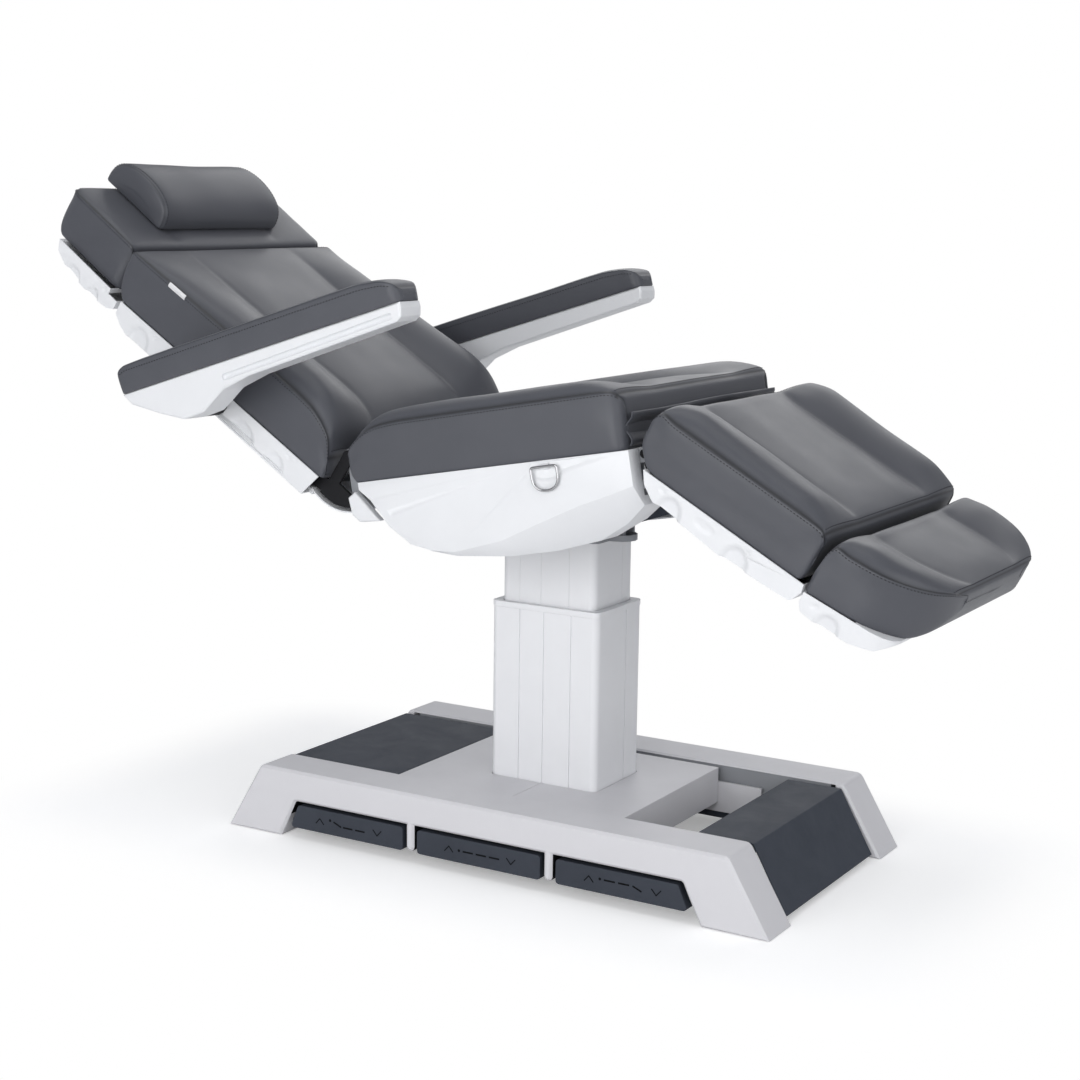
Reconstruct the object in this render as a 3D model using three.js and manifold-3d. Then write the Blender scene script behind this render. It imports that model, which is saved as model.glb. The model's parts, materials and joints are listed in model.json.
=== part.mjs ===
// Electric treatment table: a padded couch in five sections on a lifting column, in millimetres.
// X runs from the head end to the foot end, Y to the left of a person who lies on it, Z up from the floor.
// Each tilting section is drawn in its own frame: the origin is its hinge, X runs along it toward the foot.
import * as THREE from 'three';
import { mergeVertices } from 'three/addons/utils/BufferGeometryUtils.js';
import Module from 'manifold-3d';

const wasm = await Module();
wasm.setup();

// Shared clearances and walls
const seat_gap = 0.3;
const running_gap = 1.5;
const overrun = 20;
const shell_wall = 3;
const frame_plate = 6;
const tube_sides = 16;
const arc_steps = 3;

// Where the base centre lies from the middle of the whole table
const base_centre_x = 81.95;

// Widths shared by the sections
const table_half_width = 305;
const lug_set_in = 43;
const lug_inner = table_half_width - lug_set_in;
const lug_outer = lug_inner + frame_plate;
const back_plate_inner = lug_outer + 2;
const back_plate_outer = back_plate_inner + frame_plate;
const leg_plate_outer = lug_inner - 2;
const leg_plate_inner = leg_plate_outer - frame_plate;
const lip_inner = 135;
const lip_outer = back_plate_outer + 4;

// Base rails
const rail_inner = 200;
const rail_outer = 297;
const rail_height = 133;
const rail_half_length = 573;
const rail_top_half_length = 493;
const rail_foot_half_length = 447;
const rail_step_half_length = 423;
const rail_step_height = 46;
const rail_cut_half_length = 410;
const rail_cut_height = 73;
const rail_wall = 4;
const rail_edge = 5;
const rail_top_radius = 14;
const tab_centre = 147;
const tab_half_width = 9;
const tab_bottom = 23;

// Pedals and their brackets
const pedal_bottom = 22;
const pedal_top = rail_cut_height - 6;
const pedal_end_play = 7;
const pedal_radius = 6;
const pedal_inner = rail_inner + 5;
const pedal_outer = rail_outer - 1;
const pedal_pin_height = 50;
const pedal_pin_radius = 4;
const pedal_pin_end = 280;
const bracket_thickness = 5.4;
const bracket_bottom = 38;
const bracket_top = 98;
const bracket_half_length = 330;

// Base frame and covers
const base_side_bar_width = 26;
const base_bar_set_in = 25;
const base_bar_half_length = rail_top_half_length - base_bar_set_in;
const base_cross_bar_width = 36;
const base_cross_bar_near = base_bar_half_length - base_cross_bar_width;
const base_cross_bar_bottom = 88;
const cover_top = 127;
const cover_wall = 4;
const centre_plate_thickness = 14;
const centre_plate_half_length = 230;
const centre_cover_head_x = -247;
const centre_cover_seam_x = 7;
const centre_cover_foot_x = 240;
const centre_cover_half_width = 193;
const centre_cover_skirt = 70;
const end_cover_head_x = -249;
const end_cover_foot_x = 385;
const end_cover_overhang = 1;
const end_cover_slope_x = rail_top_half_length + end_cover_overhang;
const end_cover_toe_set_in = 13;
const end_cover_toe_x = rail_half_length - end_cover_toe_set_in;
const end_cover_toe_z = 10;
const cover_seam = 1;
const control_box_length = 150;
const control_box_width = 190;
const control_box_height = 52;
const control_box_set_in = 118;
const control_box_x = control_box_set_in - base_bar_half_length;
const inlet_width = 28;
const inlet_height = 22;
const inlet_depth = 24;
const inlet_z = 66;
const inlet_y = 120;
const inlet_wall = 3;

// Column
const column_x = 7;
const outer_tube_half_x = 114.5;
const outer_tube_half_y = 85.5;
const outer_tube_top = 453;
const column_wall = 5;
const column_radius = 14;
const trim_height = 11;
const trim_lip = 1;
const trim_gap = 1.5;
const inner_tube_half_x = 100;
const inner_tube_half_y = 73;
const inner_tube_bottom = 232;
const inner_tube_top = 589;
const groove_width = 3;
const groove_depth = 2;
const groove_x_places = [-51, 1, 59];
const groove_y_place = 24;

// Lift drive
const motor_half_x = 62;
const motor_half_y = 44;
const motor_height = 48;
const guide_radius = 20;
const guide_bore_radius = 13;
const guide_top = 430;
const push_rod_radius = 11;
const push_rod_bottom = 228;

// Column head and tilt hinge
const head_plate_thickness = 11.7;
const head_plate_half_x = 105;
const head_plate_half_y = 78;
const tongue_end_x = 150;
const tongue_half_width = 30;
const tilt_x = -45;
const tilt_z = 655;
const tilt_slope = 10.4;
const ear_inner = 60;
const ear_outer = 72;
const ear_radius = 20;
const ear_foot_half_length = 42;
const tilt_pin_radius = 10;
const tilt_pin_half_length = 88;
const clevis_x = 125;
const clevis_z = 622;
const clevis_inner = 15;
const clevis_plate = 6;
const clevis_radius = 12;
const clevis_pin_radius = 5;

// Tilt actuator, drawn along its own line from the clevis
const tilt_body_length = 92;
const tilt_body_radius = 11;
const tilt_rod_radius = 6;
const tilt_rod_start = 60;
const tilt_eye_radius = 15.5;
const tilt_eye_bore = 11;
const tilt_anchor_x = 320;
const tilt_anchor_z = -10;
const tilt_anchor_radius = 5;

// Seat section
const deck_z = 80;
const seat_head_x = -217;
const seat_foot_x = 352;
const cushion_thickness = 102;
const cushion_crown = 20;
const seat_shell_head_x = -200;
const seat_shell_foot_x = 360;
const seat_shell_depth = 160;
const seat_shell_deck = 3.4;
const seat_flange_width = 115;
const seat_flange_inner = table_half_width - seat_flange_width;
const underside_slope = 50;
const front_wall_width = 62;
const front_wall_inner = table_half_width - front_wall_width;
// Stations of the boat shaped hull: share of its length, then shares of its depth to the bottom and to the crease,
// and the share of the bottom flange that is there.
const hull_station_shares = [
  [0, 0.08, 0.08, 0], [0.04, 0.21, 0.21, 0], [0.1, 0.53, 0.53, 0], [0.173, 0.75, 0.75, 0],
  [0.248, 0.85, 0.84, 0.1], [0.334, 0.93, 0.88, 0.5], [0.51, 1, 0.81, 1], [0.66, 1, 0.66, 1],
  [0.807, 0.94, 0.52, 1], [0.92, 0.78, 0.44, 1], [1, 0.6, 0.375, 1],
];

// Seat frame
const side_plate_top = 75;
const side_plate_bottom = 55;
const side_plate_drop_x = -115;
const head_bar_half = 10;
const beam_inner = 74;
const beam_outer = 84;
const cross_bar_width = 20;
const cross_bar_middle_x = 188;
const cross_bar_foot_x = 325;
const cross_bar_bottom = 52;
const hub_radius = 12;
const lug_hub_radius = 14;
const hinge_shaft_radius = 8;
const beam_bottom_head = -55;
const beam_bottom_foot = -42;
const tray_head_x = 250;
const tray_foot_x = 335;
const tray_half_width = 100;
const tray_wall = 3;

// Hinges of the sections, in the frame of the section that carries each
const back_hinge_x = -235.8;
const back_hinge_z = 127.7;
const back_slope = -32.5;
const leg_hinge_x = 369.6;
const leg_hinge_z = 69.4;
const leg_slope = -28.8;
const head_hinge_x = -582.7;
const head_hinge_z = -60.6;
const head_hinge_drop = 9;
const head_slope = -35.6;
const foot_hinge_x = 361.5;
const foot_hinge_z = -18;
const foot_hinge_drop = 14;
const foot_slope = -24.3;
const arm_hinge_x = -286;
const arm_hinge_z = -75;
const arm_slope = 17.4;

// Hinge covers, flap and rings of the seat
const hinge_cover_set_in = 4;
const hinge_cover_thickness = 17;
const hinge_cover_outer = table_half_width - hinge_cover_set_in;
const hinge_cover_inner = hinge_cover_outer - hinge_cover_thickness;
const hinge_cover_x = -231;
const hinge_cover_z = 64.5;
const hinge_cover_length = 66;
const hinge_cover_height = 58;
const hinge_cover_corner_shares = [
  [0, -0.17, 0], [0.05, -0.72, 0], [0.27, -0.96, 0.15], [0.42, -0.98, 0.1], [0.98, -1, 0], [0.27, 0, 0],
];
const flap_set_in = 20;
const flap_half_width = table_half_width - flap_set_in;
const flap_thickness = 5;
const flap_bottom = 86;
const flap_top = 152;
const ring_x = 196;
const ring_z = 69.7;
const ring_half_width = 26;
const ring_drop = 41;
const ring_wire_radius = 2.8;
const ring_sides = 8;
const ring_out = 4.6;
const ring_clip_half_length = 8;
const ring_clip_radius = 5;

// Drives of the back and leg sections
const drive_y = 120;
const drive_body_radius = 22;
const drive_rod_radius = 8;
const drive_pin_radius = 5;
const drive_eye_half_width = 7;
const crank_inner = 9;
const crank_plate = 4;
const back_crank_radius = 86;
const back_crank_slope = -51.05;
const back_crank_slot_length = 26;
const back_crank_slot_half = 8.6;
const back_drive_body_x = -90;
const back_drive_body_end_x = 150;
const leg_crank_radius = 60;
const leg_crank_slope = -62.9;
const leg_crank_slot_length = 9;
const leg_crank_slot_half = 7;
const back_rod_inside = 100;
const leg_drive_body_x = 110;
const leg_rod_inside = 120;
const leg_drive_body_end_x = 262;
const back_swing_middle = 38.95;
const leg_swing_middle = 27.1;
const crank_margin = 5;
const crank_hub_radius = 11;

// Back section
const back_deck_z = -55;
const back_head_x = -603;
const back_crown = 37;
const back_head_crown_share = 0.3;
const back_foot_x = -14;
const back_tray_head_x = -576;
const back_tray_foot_x = -18;
const back_tray_depth = 51;
const back_tray_corner_shares = [
  [0, 0, 0], [0, 0.52, 0.1], [0.034, 0.77, 0.2], [0.09, 1, 0.3], [0.973, 1, 0], [1, 0, 0],
];
const lip_radius = 103;
const lip_from = -109;
const lip_to = -35;
const lip_steps = 12;
const lip_root_from_x = -40;
const lip_root_to_x = -26;
const lip_root_height = 9;
const lip_notch_from = -54;
const lip_notch_play = 3;
const sector_radius = 94;
const sector_from = -100;
const sector_to = -37;
const sector_top_z = -54;
const neck_half_width = 11;
const back_bar_bottom = -98;
const back_bar_top = -62;
const back_bar_head_x = -515;
const back_bar_foot_x = -40;
const back_cross_places = [-500, -286, -66];
const back_cross_half = 9;
const arm_stub_radius = 12;
const arm_hub_radius = 30;

// Head section
const head_deck_z = 9.5;
const head_foot_x = -24;
const head_far_x = -232;
const head_thickness = 95;
const head_set_in = 12;
const head_half_width = table_half_width - head_set_in;
const head_crown = 4;
const head_tray_far_x = -188;
const head_tray_near_x = -2;
const head_tray_depth = 41;
const head_tray_corner_shares = [
  [0, 0, 0], [0.05, 0.5, 0.1], [0.21, 0.82, 0.2], [0.52, 1, 0.3], [0.74, 1, 0.2], [0.92, 0.9, 0.1], [1, 0.69, 0.05],
  [1, 0.27, 0], [0.86, 0.27, 0], [0.86, 0, 0],
];
const head_plate_inner = 150;
const head_plate_outer = head_plate_inner + frame_plate;
const head_ear_inner = head_plate_outer + 2;
const head_ear_outer = head_ear_inner + frame_plate;
const small_hub_radius = 10;
const small_shaft_radius = 5;
const head_bar_far_x = -140;
const head_bar_near_x = -34;
const head_bar_bottom = -20;
const head_bar_top = 4;
const pillow_x = -166;
const pillow_half_length = 90;
const pillow_height = 68;
const pillow_half_width = 183;
const pillow_steps = 14;
// Stations along the pillow: share of its half width, share of its section
const pillow_station_shares = [
  [-1, 0.86], [-0.975, 0.94], [-0.93, 0.985], [-0.8, 1], [-0.5, 0.985], [0, 0.98], [0.5, 0.985], [0.8, 1],
  [0.93, 0.985], [0.975, 0.94], [1, 0.86],
];

// Leg section
const leg_deck_z = -10;
const leg_head_x = -3;
const leg_foot_x = 351;
const leg_thickness = 95;
const leg_crown = 40;
const leg_foot_crown_share = 0.5;
const leg_tray_head_x = 26;
const leg_tray_foot_x = 362;
const leg_tray_depth = 45;
const leg_tray_corner_shares = [
  [0, 0, 0], [0.04, 0.45, 0.1], [0.12, 0.82, 0.3], [0.36, 0.91, 0], [0.55, 1, 0.3], [0.79, 0.91, 0],
  [0.97, 0.82, 0.2], [1, 0.3, 0.1], [0.99, 0, 0],
];
const leg_bar_bottom = -44;
const leg_bar_top = -14;
const leg_bar_head_x = 38;
const leg_cross_places = [90, 300];
const leg_cross_half = 9;

// Foot section
const foot_deck_z = -2;
const foot_head_x = 4;
const foot_foot_x = 203;
const foot_thickness = 90;
const foot_crown = 28;
const foot_end_crown_share = 0.6;
const foot_corner_radius = 100;
const foot_tray_corner_radius = 70;
const foot_tray_head_x = 4;
const foot_tray_foot_x = 170;
const foot_tray_depth = 36;
const foot_tray_corner_shares = [
  [0, 0, 0], [0, 0.53, 0], [0.05, 0.89, 0.2], [0.22, 1, 0.3], [0.6, 1, 0.4], [0.86, 0.72, 0.3], [1, 0.15, 0],
  [1, 0, 0],
];
const foot_plate_outer = leg_plate_inner - 2;
const foot_plate_inner = foot_plate_outer - frame_plate;
const foot_bar_bottom = -28;
const foot_bar_top = -5;
const foot_bar_foot_x = 98;
const foot_shaft_radius = 5;
const foot_hub_radius = 11;
const foot_slot_reach = 15;

// Arms
const arm_clearance = 80;
const arm_inner = table_half_width + arm_clearance;
const arm_width = 75;
const arm_pad_z = 41.5;
const arm_pad_thickness = 49;
const arm_pad_crown = 5;
const arm_pad_rear_x = -91;
const arm_pad_tip_x = 560;
const arm_support_side = 6;
const arm_support_rear_x = -89;
const arm_support_length = 646;
const arm_support_depth = 77.5;
const arm_support_corner_shares = [
  [0, 0, 0], [0.025, -0.29, 0.1], [0.12, -0.7, 0.3], [0.2, -1, 0.3], [0.272, -0.975, 0.2],
  [0.316, -0.8, 0.2], [0.36, -0.62, 0.3], [0.46, -0.5, 0], [0.975, -0.4, 0.1], [0.993, -0.32, 0.05],
  [1, -0.14, 0.05], [1, 0, 0],
];

// End outlines of the cushions: each row is the way in from the end, the top and the bottom, as shares of the
// thickness of the cushion
const square_end_shares = [[0, 0.82, 0.14], [0.05, 0.93, 0.02], [0.14, 0.985, 0], [0.34, 1, 0]];
const seat_head_end_shares = [
  [0, 0.52, 0.2], [0.06, 0.61, 0.1], [0.14, 0.69, 0], [0.3, 0.81, 0], [0.55, 0.92, 0], [0.9, 0.98, 0], [1.35, 1, 0],
];
const back_foot_end_shares = [
  [0, 0.14, 0], [0.04, 0.38, 0], [0.12, 0.55, 0], [0.28, 0.75, 0], [0.52, 0.88, 0], [0.88, 0.98, 0], [1.4, 1, 0],
];
const back_head_end_shares = [[0, 0.93, 0.62], [0.05, 0.99, 0.42], [0.13, 1, 0.18], [0.24, 1, 0.03], [0.4, 1, 0]];
const head_far_end_shares = [[0, 0.97, 0.72], [0.08, 1, 0.4], [0.19, 1, 0.12], [0.36, 1, 0]];
const head_near_end_shares = [[0, 0.3, 0], [0.05, 0.62, 0], [0.09, 0.85, 0], [0.13, 0.96, 0], [0.24, 1, 0]];
const leg_head_end_shares = [
  [0, 0.75, 0.45], [0.035, 0.93, 0.38], [0.1, 1.02, 0.28], [0.18, 1.06, 0.19], [0.31, 1.04, 0.06], [0.5, 1.02, 0],
];
const foot_head_end_shares = [[0, 0.35, 0], [0.05, 0.72, 0], [0.14, 0.98, 0], [0.2, 1.04, 0], [0.5, 1, 0]];
const foot_far_end_shares = [
  [0, 0.94, 0.72], [0.05, 1, 0.52], [0.15, 1, 0.3], [0.28, 1, 0.12], [0.4, 1, 0.02], [0.6, 1, 0], [0.9, 1, 0],
];
const arm_rear_end_shares = [[0, 0.5, 0.1], [0.1, 0.78, 0], [0.25, 0.9, 0], [0.6, 1, 0]];
const arm_tip_end_shares = [
  [0, 0.42, 0.04], [0.12, 0.62, 0], [0.4, 0.78, 0], [0.65, 0.86, 0], [0.9, 0.9, 0], [1.7, 0.98, 0],
];
// Sections across the cushions: each row is a share of the half width, of the height and of the crown
const bolster_half_shares = [
  [0.965, 0, 0], [0.985, 0.3, 0], [0.982, 0.65, 0], [1, 0.92, 0], [0.99, 1, 0.1], [0.955, 1, 0.62], [0.885, 1, 1],
  [0.8, 1, 0.96], [0.7, 1, 0.7], [0.6, 1, 0.33], [0.52, 1, 0.05], [0.46, 1, 0.13], [0.3, 1, 0.2],
];
const pad_half_shares = [[0.9, 0, 0], [0.97, 0.4, 0], [1, 0.8, 0], [0.9, 1, 0.2], [0.6, 1, 0.8]];
const centre_crown_share = 0.22;
const crown_reach_share = 1.5;
const body_station_shares = [0.25, 0.5, 0.75];

// Finishes
const finish = (color, roughness, metalness) => new THREE.MeshStandardMaterial({ color, roughness, metalness });
const white_shell = () => finish(0xe6e7ea, 0.4, 0);
const rail_white = () => finish(0xd8d8db, 0.45, 0);
const upholstery = () => finish(0x5e5f64, 0.6, 0);
const slate_plastic = () => finish(0x3f444d, 0.6, 0);
const black_steel = () => finish(0x1d1e22, 0.5, 0.3);
const grey_steel = () => finish(0x8f9296, 0.45, 0.8);
const bright_steel = () => finish(0xc9ccd0, 0.2, 1);
const painted_column = () => finish(0xe3e4e8, 0.4, 0.1);

// Solids: closed geometries that can be joined and cut
function solidOf(geometry) {
  const bare = geometry.clone();
  bare.deleteAttribute('normal');
  bare.deleteAttribute('uv');
  const merged = mergeVertices(bare);
  const corners = Float32Array.from(merged.attributes.position.array);
  const faces = Uint32Array.from(merged.index.array);
  return new wasm.Manifold(new wasm.Mesh({ numProp: 3, vertProperties: corners, triVerts: faces }));
}

function geometryOf(solid) {
  const mesh = solid.getMesh();
  const geometry = new THREE.BufferGeometry();
  geometry.setAttribute('position', new THREE.BufferAttribute(mesh.vertProperties, 3));
  geometry.setIndex(new THREE.BufferAttribute(mesh.triVerts, 1));
  return geometry;
}

function joined(...pieces) {
  return geometryOf(pieces.map(solidOf).reduce((whole, piece) => whole.add(piece)));
}

function cut(body, ...tools) {
  return geometryOf(tools.map(solidOf).reduce((whole, tool) => whole.subtract(tool), solidOf(body)));
}

// Outlines: a corner is [x, z] or [x, z, radius]
function rounded(corners) {
  const points = [];
  corners.forEach(([x, z, radius], index) => {
    if (!radius) {
      points.push([x, z]);
      return;
    }
    const corner = new THREE.Vector2(x, z);
    const before = new THREE.Vector2(...corners.at(index - 1));
    const after = new THREE.Vector2(...corners[(index + 1) % corners.length]);
    const toward = before.clone().sub(corner);
    const away = after.clone().sub(corner);
    const room = Math.min(toward.length(), away.length()) / 2;
    toward.normalize();
    away.normalize();
    const half_angle = Math.acos(THREE.MathUtils.clamp(toward.dot(away), -1, 1)) / 2;
    const reach = Math.min(radius / Math.tan(half_angle), room);
    const true_radius = reach * Math.tan(half_angle);
    const middle = toward.clone().add(away).normalize().multiplyScalar(true_radius / Math.sin(half_angle));
    const centre = corner.clone().add(middle);
    const start = corner.clone().addScaledVector(toward, reach).sub(centre);
    const sweep = Math.sign(toward.cross(away)) * (2 * half_angle - Math.PI);
    for (let step = 0; step <= arc_steps; step += 1) {
      const spoke = start.clone().rotateAround(new THREE.Vector2(), sweep * step / arc_steps);
      points.push([centre.x + spoke.x, centre.y + spoke.y]);
    }
  });
  return points;
}

function placed(shares, from_x, length, from_z, height) {
  return shares.map(([x, z, radius]) => [from_x + x * length, from_z + z * height, (radius || 0) * Math.abs(height)]);
}

function arcPoints(centre_x, centre_z, radius, from_angle, to_angle, steps) {
  const points = [];
  for (let step = 0; step <= steps; step += 1) {
    const angle = THREE.MathUtils.degToRad(from_angle + (to_angle - from_angle) * step / steps);
    points.push([centre_x + radius * Math.cos(angle), centre_z + radius * Math.sin(angle)]);
  }
  return points;
}

function shapeOf(points) {
  return new THREE.Shape(points.map(([a, b]) => new THREE.Vector2(a, b)));
}

function extruded(points, depth, edge) {
  const bevel = edge ? {
    bevelEnabled: true, bevelThickness: edge, bevelSize: edge, bevelOffset: -edge, bevelSegments: 1,
  } : { bevelEnabled: false };
  const geometry = new THREE.ExtrudeGeometry(shapeOf(points), { depth: depth - 2 * edge, steps: 1, ...bevel });
  geometry.translate(0, 0, edge);
  return geometry;
}

// An outline in X and Z, made solid across Y
function slab(points, from_y, to_y, edge = 0) {
  return extruded(points, to_y - from_y, edge).rotateX(Math.PI / 2).translate(0, to_y, 0);
}

// An outline in X and Y, made solid upward
function plate(points, from_z, to_z, edge = 0) {
  return extruded(points, to_z - from_z, edge).translate(0, 0, from_z);
}

// An outline in Y and Z, made solid along X
function gate(points, from_x, to_x) {
  return extruded(points, to_x - from_x, 0).rotateX(Math.PI / 2).rotateZ(Math.PI / 2).translate(from_x, 0, 0);
}

function bar([from_x, to_x], [from_y, to_y], [from_z, to_z]) {
  const box = new THREE.BoxGeometry(to_x - from_x, to_y - from_y, to_z - from_z);
  return box.translate((from_x + to_x) / 2, (from_y + to_y) / 2, (from_z + to_z) / 2);
}

function pin(radius, from_y, to_y, x, z) {
  const cylinder = new THREE.CylinderGeometry(radius, radius, to_y - from_y, tube_sides);
  return cylinder.translate(x, (from_y + to_y) / 2, z);
}

function post(radius, from_z, to_z, x, y) {
  const cylinder = new THREE.CylinderGeometry(radius, radius, to_z - from_z, tube_sides).rotateX(Math.PI / 2);
  return cylinder.translate(x, y, (from_z + to_z) / 2);
}

function rod(radius, from_x, to_x, y, z) {
  const cylinder = new THREE.CylinderGeometry(radius, radius, to_x - from_x, tube_sides).rotateZ(Math.PI / 2);
  return cylinder.translate((from_x + to_x) / 2, y, z);
}

function roundedRectangle(half_x, half_y, radius, x = 0) {
  return rounded([
    [x + half_x, half_y, radius], [x - half_x, half_y, radius], [x - half_x, -half_y, radius],
    [x + half_x, -half_y, radius],
  ]);
}

// The Y range of a plate on one side of the table
function onSide(side, inner, outer) {
  return side > 0 ? [inner, outer] : [-outer, -inner];
}

// Turns a geometry inside out when its faces point inward
function facingOut(geometry) {
  const corner = geometry.attributes.position;
  const index = geometry.index;
  let volume = 0;
  const [a, b, c] = [new THREE.Vector3(), new THREE.Vector3(), new THREE.Vector3()];
  for (let face = 0; face < index.count; face += 3) {
    a.fromBufferAttribute(corner, index.getX(face));
    b.fromBufferAttribute(corner, index.getX(face + 1));
    c.fromBufferAttribute(corner, index.getX(face + 2));
    volume += a.dot(b.cross(c));
  }
  if (volume < 0) {
    const faces = Array.from(index.array);
    for (let face = 0; face < faces.length; face += 3) {
      [faces[face + 1], faces[face + 2]] = [faces[face + 2], faces[face + 1]];
    }
    geometry.setIndex(faces);
  }
  return geometry;
}

// A closed skin through rings of equally many points, with both ends capped
function loft(rings) {
  const count = rings[0].length;
  const positions = rings.flat(2);
  const faces = [];
  for (let ring = 0; ring < rings.length - 1; ring += 1) {
    for (let point = 0; point < count; point += 1) {
      const next = (point + 1) % count;
      const here = ring * count;
      const there = here + count;
      faces.push(here + point, here + next, there + next, here + point, there + next, there + point);
    }
  }
  const capFaces = (ring) => {
    const outline = ring.map(([, y, z]) => new THREE.Vector2(y, z));
    const turn = THREE.ShapeUtils.area(outline);
    return THREE.ShapeUtils.triangulateShape(outline, []).map(([a, b, c]) => {
      const area = THREE.ShapeUtils.area([outline[a], outline[b], outline[c]]);
      return area * turn > 0 ? [a, b, c] : [a, c, b];
    });
  };
  const last = (rings.length - 1) * count;
  capFaces(rings[0]).forEach(([a, b, c]) => faces.push(a, c, b));
  capFaces(rings.at(-1)).forEach(([a, b, c]) => faces.push(last + a, last + b, last + c));
  const geometry = new THREE.BufferGeometry();
  geometry.setAttribute('position', new THREE.Float32BufferAttribute(positions, 3));
  geometry.setIndex(faces);
  return facingOut(geometry);
}

// How far a rounded corner of the plan draws the side in, at a way in from the end
function cornerInset(radius, way_in) {
  return way_in < radius ? radius - Math.sqrt(radius ** 2 - (radius - way_in) ** 2) : 0;
}

// A cushion between its head and foot ends: the end outlines, the crown and the drawn in sides are shares
function cushion({
  head_x, foot_x, deck, thickness, half_width, crown, head_end, foot_end, head_corner, foot_corner, half_section,
  centre_crown, head_crown_share = 1, foot_crown_share = 1,
}) {
  const stations = head_end.map(([way_in, top, bottom]) => [head_x + way_in * thickness, top, bottom]);
  const foot_stations = foot_end.map(([way_in, top, bottom]) => [foot_x - way_in * thickness, top, bottom]);
  const body_from = stations.at(-1);
  const body_to = foot_stations.at(-1);
  body_station_shares.forEach((share) => {
    stations.push(body_from.map((value, index) => THREE.MathUtils.lerp(value, body_to[index], share)));
  });
  stations.push(...foot_stations.reverse());
  const left = half_section;
  const right = half_section.map(([y, z, rise]) => [-y, z, rise]).reverse();
  const section = [[0, 0, 0], ...left, [0, 1, centre_crown], ...right];
  const rings = stations.map(([x, top, bottom]) => {
    const head_way = x - head_x;
    const foot_way = foot_x - x;
    const half = half_width - cornerInset(head_corner, head_way) - cornerInset(foot_corner, foot_way);
    const reach = Math.min(1, Math.min(head_way, foot_way) / (crown_reach_share * thickness));
    const along = THREE.MathUtils.smoothstep(x, head_x, foot_x);
    const crown_share = THREE.MathUtils.lerp(head_crown_share, foot_crown_share, along);
    const swell = crown * crown_share * Math.sin(reach * Math.PI / 2);
    return section.map(([y, z, rise]) => [
      x, y * half, deck + thickness * (bottom + (top - bottom) * z) + swell * rise,
    ]);
  });
  return loft(rings);
}

// A tray under a cushion: a shell with side walls, opened by the solids that are cut out of it
function tray(corners, open_tools) {
  return cut(slab(rounded(corners), -table_half_width, table_half_width), ...open_tools);
}

// The outline of a tray, drawn in by its wall and carried past its open top
function trayBore(corners, wall) {
  const xs = corners.map(([x]) => x);
  const zs = corners.map(([, z]) => z);
  const middle = (Math.min(...xs) + Math.max(...xs)) / 2;
  const half = (Math.max(...xs) - Math.min(...xs)) / 2;
  const top = Math.max(...zs);
  const depth = top - Math.min(...zs);
  const across = (half - wall) / half;
  const down = (depth - wall) / depth;
  return corners.map(([x, z]) => [
    middle + (x - middle) * across, z === top ? top + overrun : top + (z - top) * down,
  ]);
}

// The two plates of a crank with a slot, drawn out from a hinge at a slope, and the slot to cut
function slottedCrank(slope, lobe_from, slot_from, slot_length, slot_half, centre_y) {
  const lobe_half = slot_half + crank_margin;
  const turn = -THREE.MathUtils.degToRad(slope);
  const capsule = (from_x, to_x, half) => rounded([
    [from_x - half, -half, half], [to_x + half, -half, half], [to_x + half, half, half], [from_x - half, half, half],
  ]);
  const slot_to = slot_from + slot_length;
  const sides = [-1, 1].map((side) => {
    const [from_y, to_y] = onSide(side, crank_inner, crank_inner + crank_plate);
    return slab(capsule(lobe_from, slot_to, lobe_half), from_y, to_y).rotateY(turn).translate(0, centre_y, 0);
  });
  const reach = crank_inner + crank_plate + overrun;
  const slot = slab(capsule(slot_from, slot_to, slot_half), -reach, reach).rotateY(turn).translate(0, centre_y, 0);
  return { sides, slot };
}

// A round wire bent into a closed loop in the X and Z plane
function wireLoop(points, radius, sides) {
  const count = points.length;
  const positions = [];
  const faces = [];
  points.forEach(([x, z], index) => {
    const before = new THREE.Vector2(...points.at(index - 1));
    const after = new THREE.Vector2(...points[(index + 1) % count]);
    const along = after.sub(before).normalize();
    for (let side = 0; side < sides; side += 1) {
      const angle = side / sides * Math.PI * 2;
      const out = radius * Math.cos(angle);
      positions.push(x + along.y * out, radius * Math.sin(angle), z - along.x * out);
    }
  });
  for (let index = 0; index < count; index += 1) {
    for (let side = 0; side < sides; side += 1) {
      const here = index * sides;
      const there = ((index + 1) % count) * sides;
      const next = (side + 1) % sides;
      faces.push(here + side, there + side, there + next, here + side, there + next, here + next);
    }
  }
  const geometry = new THREE.BufferGeometry();
  geometry.setAttribute('position', new THREE.Float32BufferAttribute(positions, 3));
  geometry.setIndex(faces);
  return facingOut(geometry);
}

function addPiece(group, name, geometry, material) {
  const mesh = new THREE.Mesh(geometry, material);
  mesh.name = name;
  group.add(mesh);
}

// A section turned about its hinge: the slope is its own, seen from the side, less that of its carrier.
// The hinge lies a drop below the origin of the section.
function sectionGroup(carrier, x, z, slope, carrier_slope, drop = 0) {
  const hinge = new THREE.Group();
  hinge.position.set(x, 0, z - drop);
  hinge.rotation.y = -THREE.MathUtils.degToRad(slope - carrier_slope);
  carrier.add(hinge);
  const section = new THREE.Group();
  section.position.z = drop;
  hinge.add(section);
  return section;
}

const table = new THREE.Group();
const base = new THREE.Group();
base.position.x = base_centre_x;
table.add(base);

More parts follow.
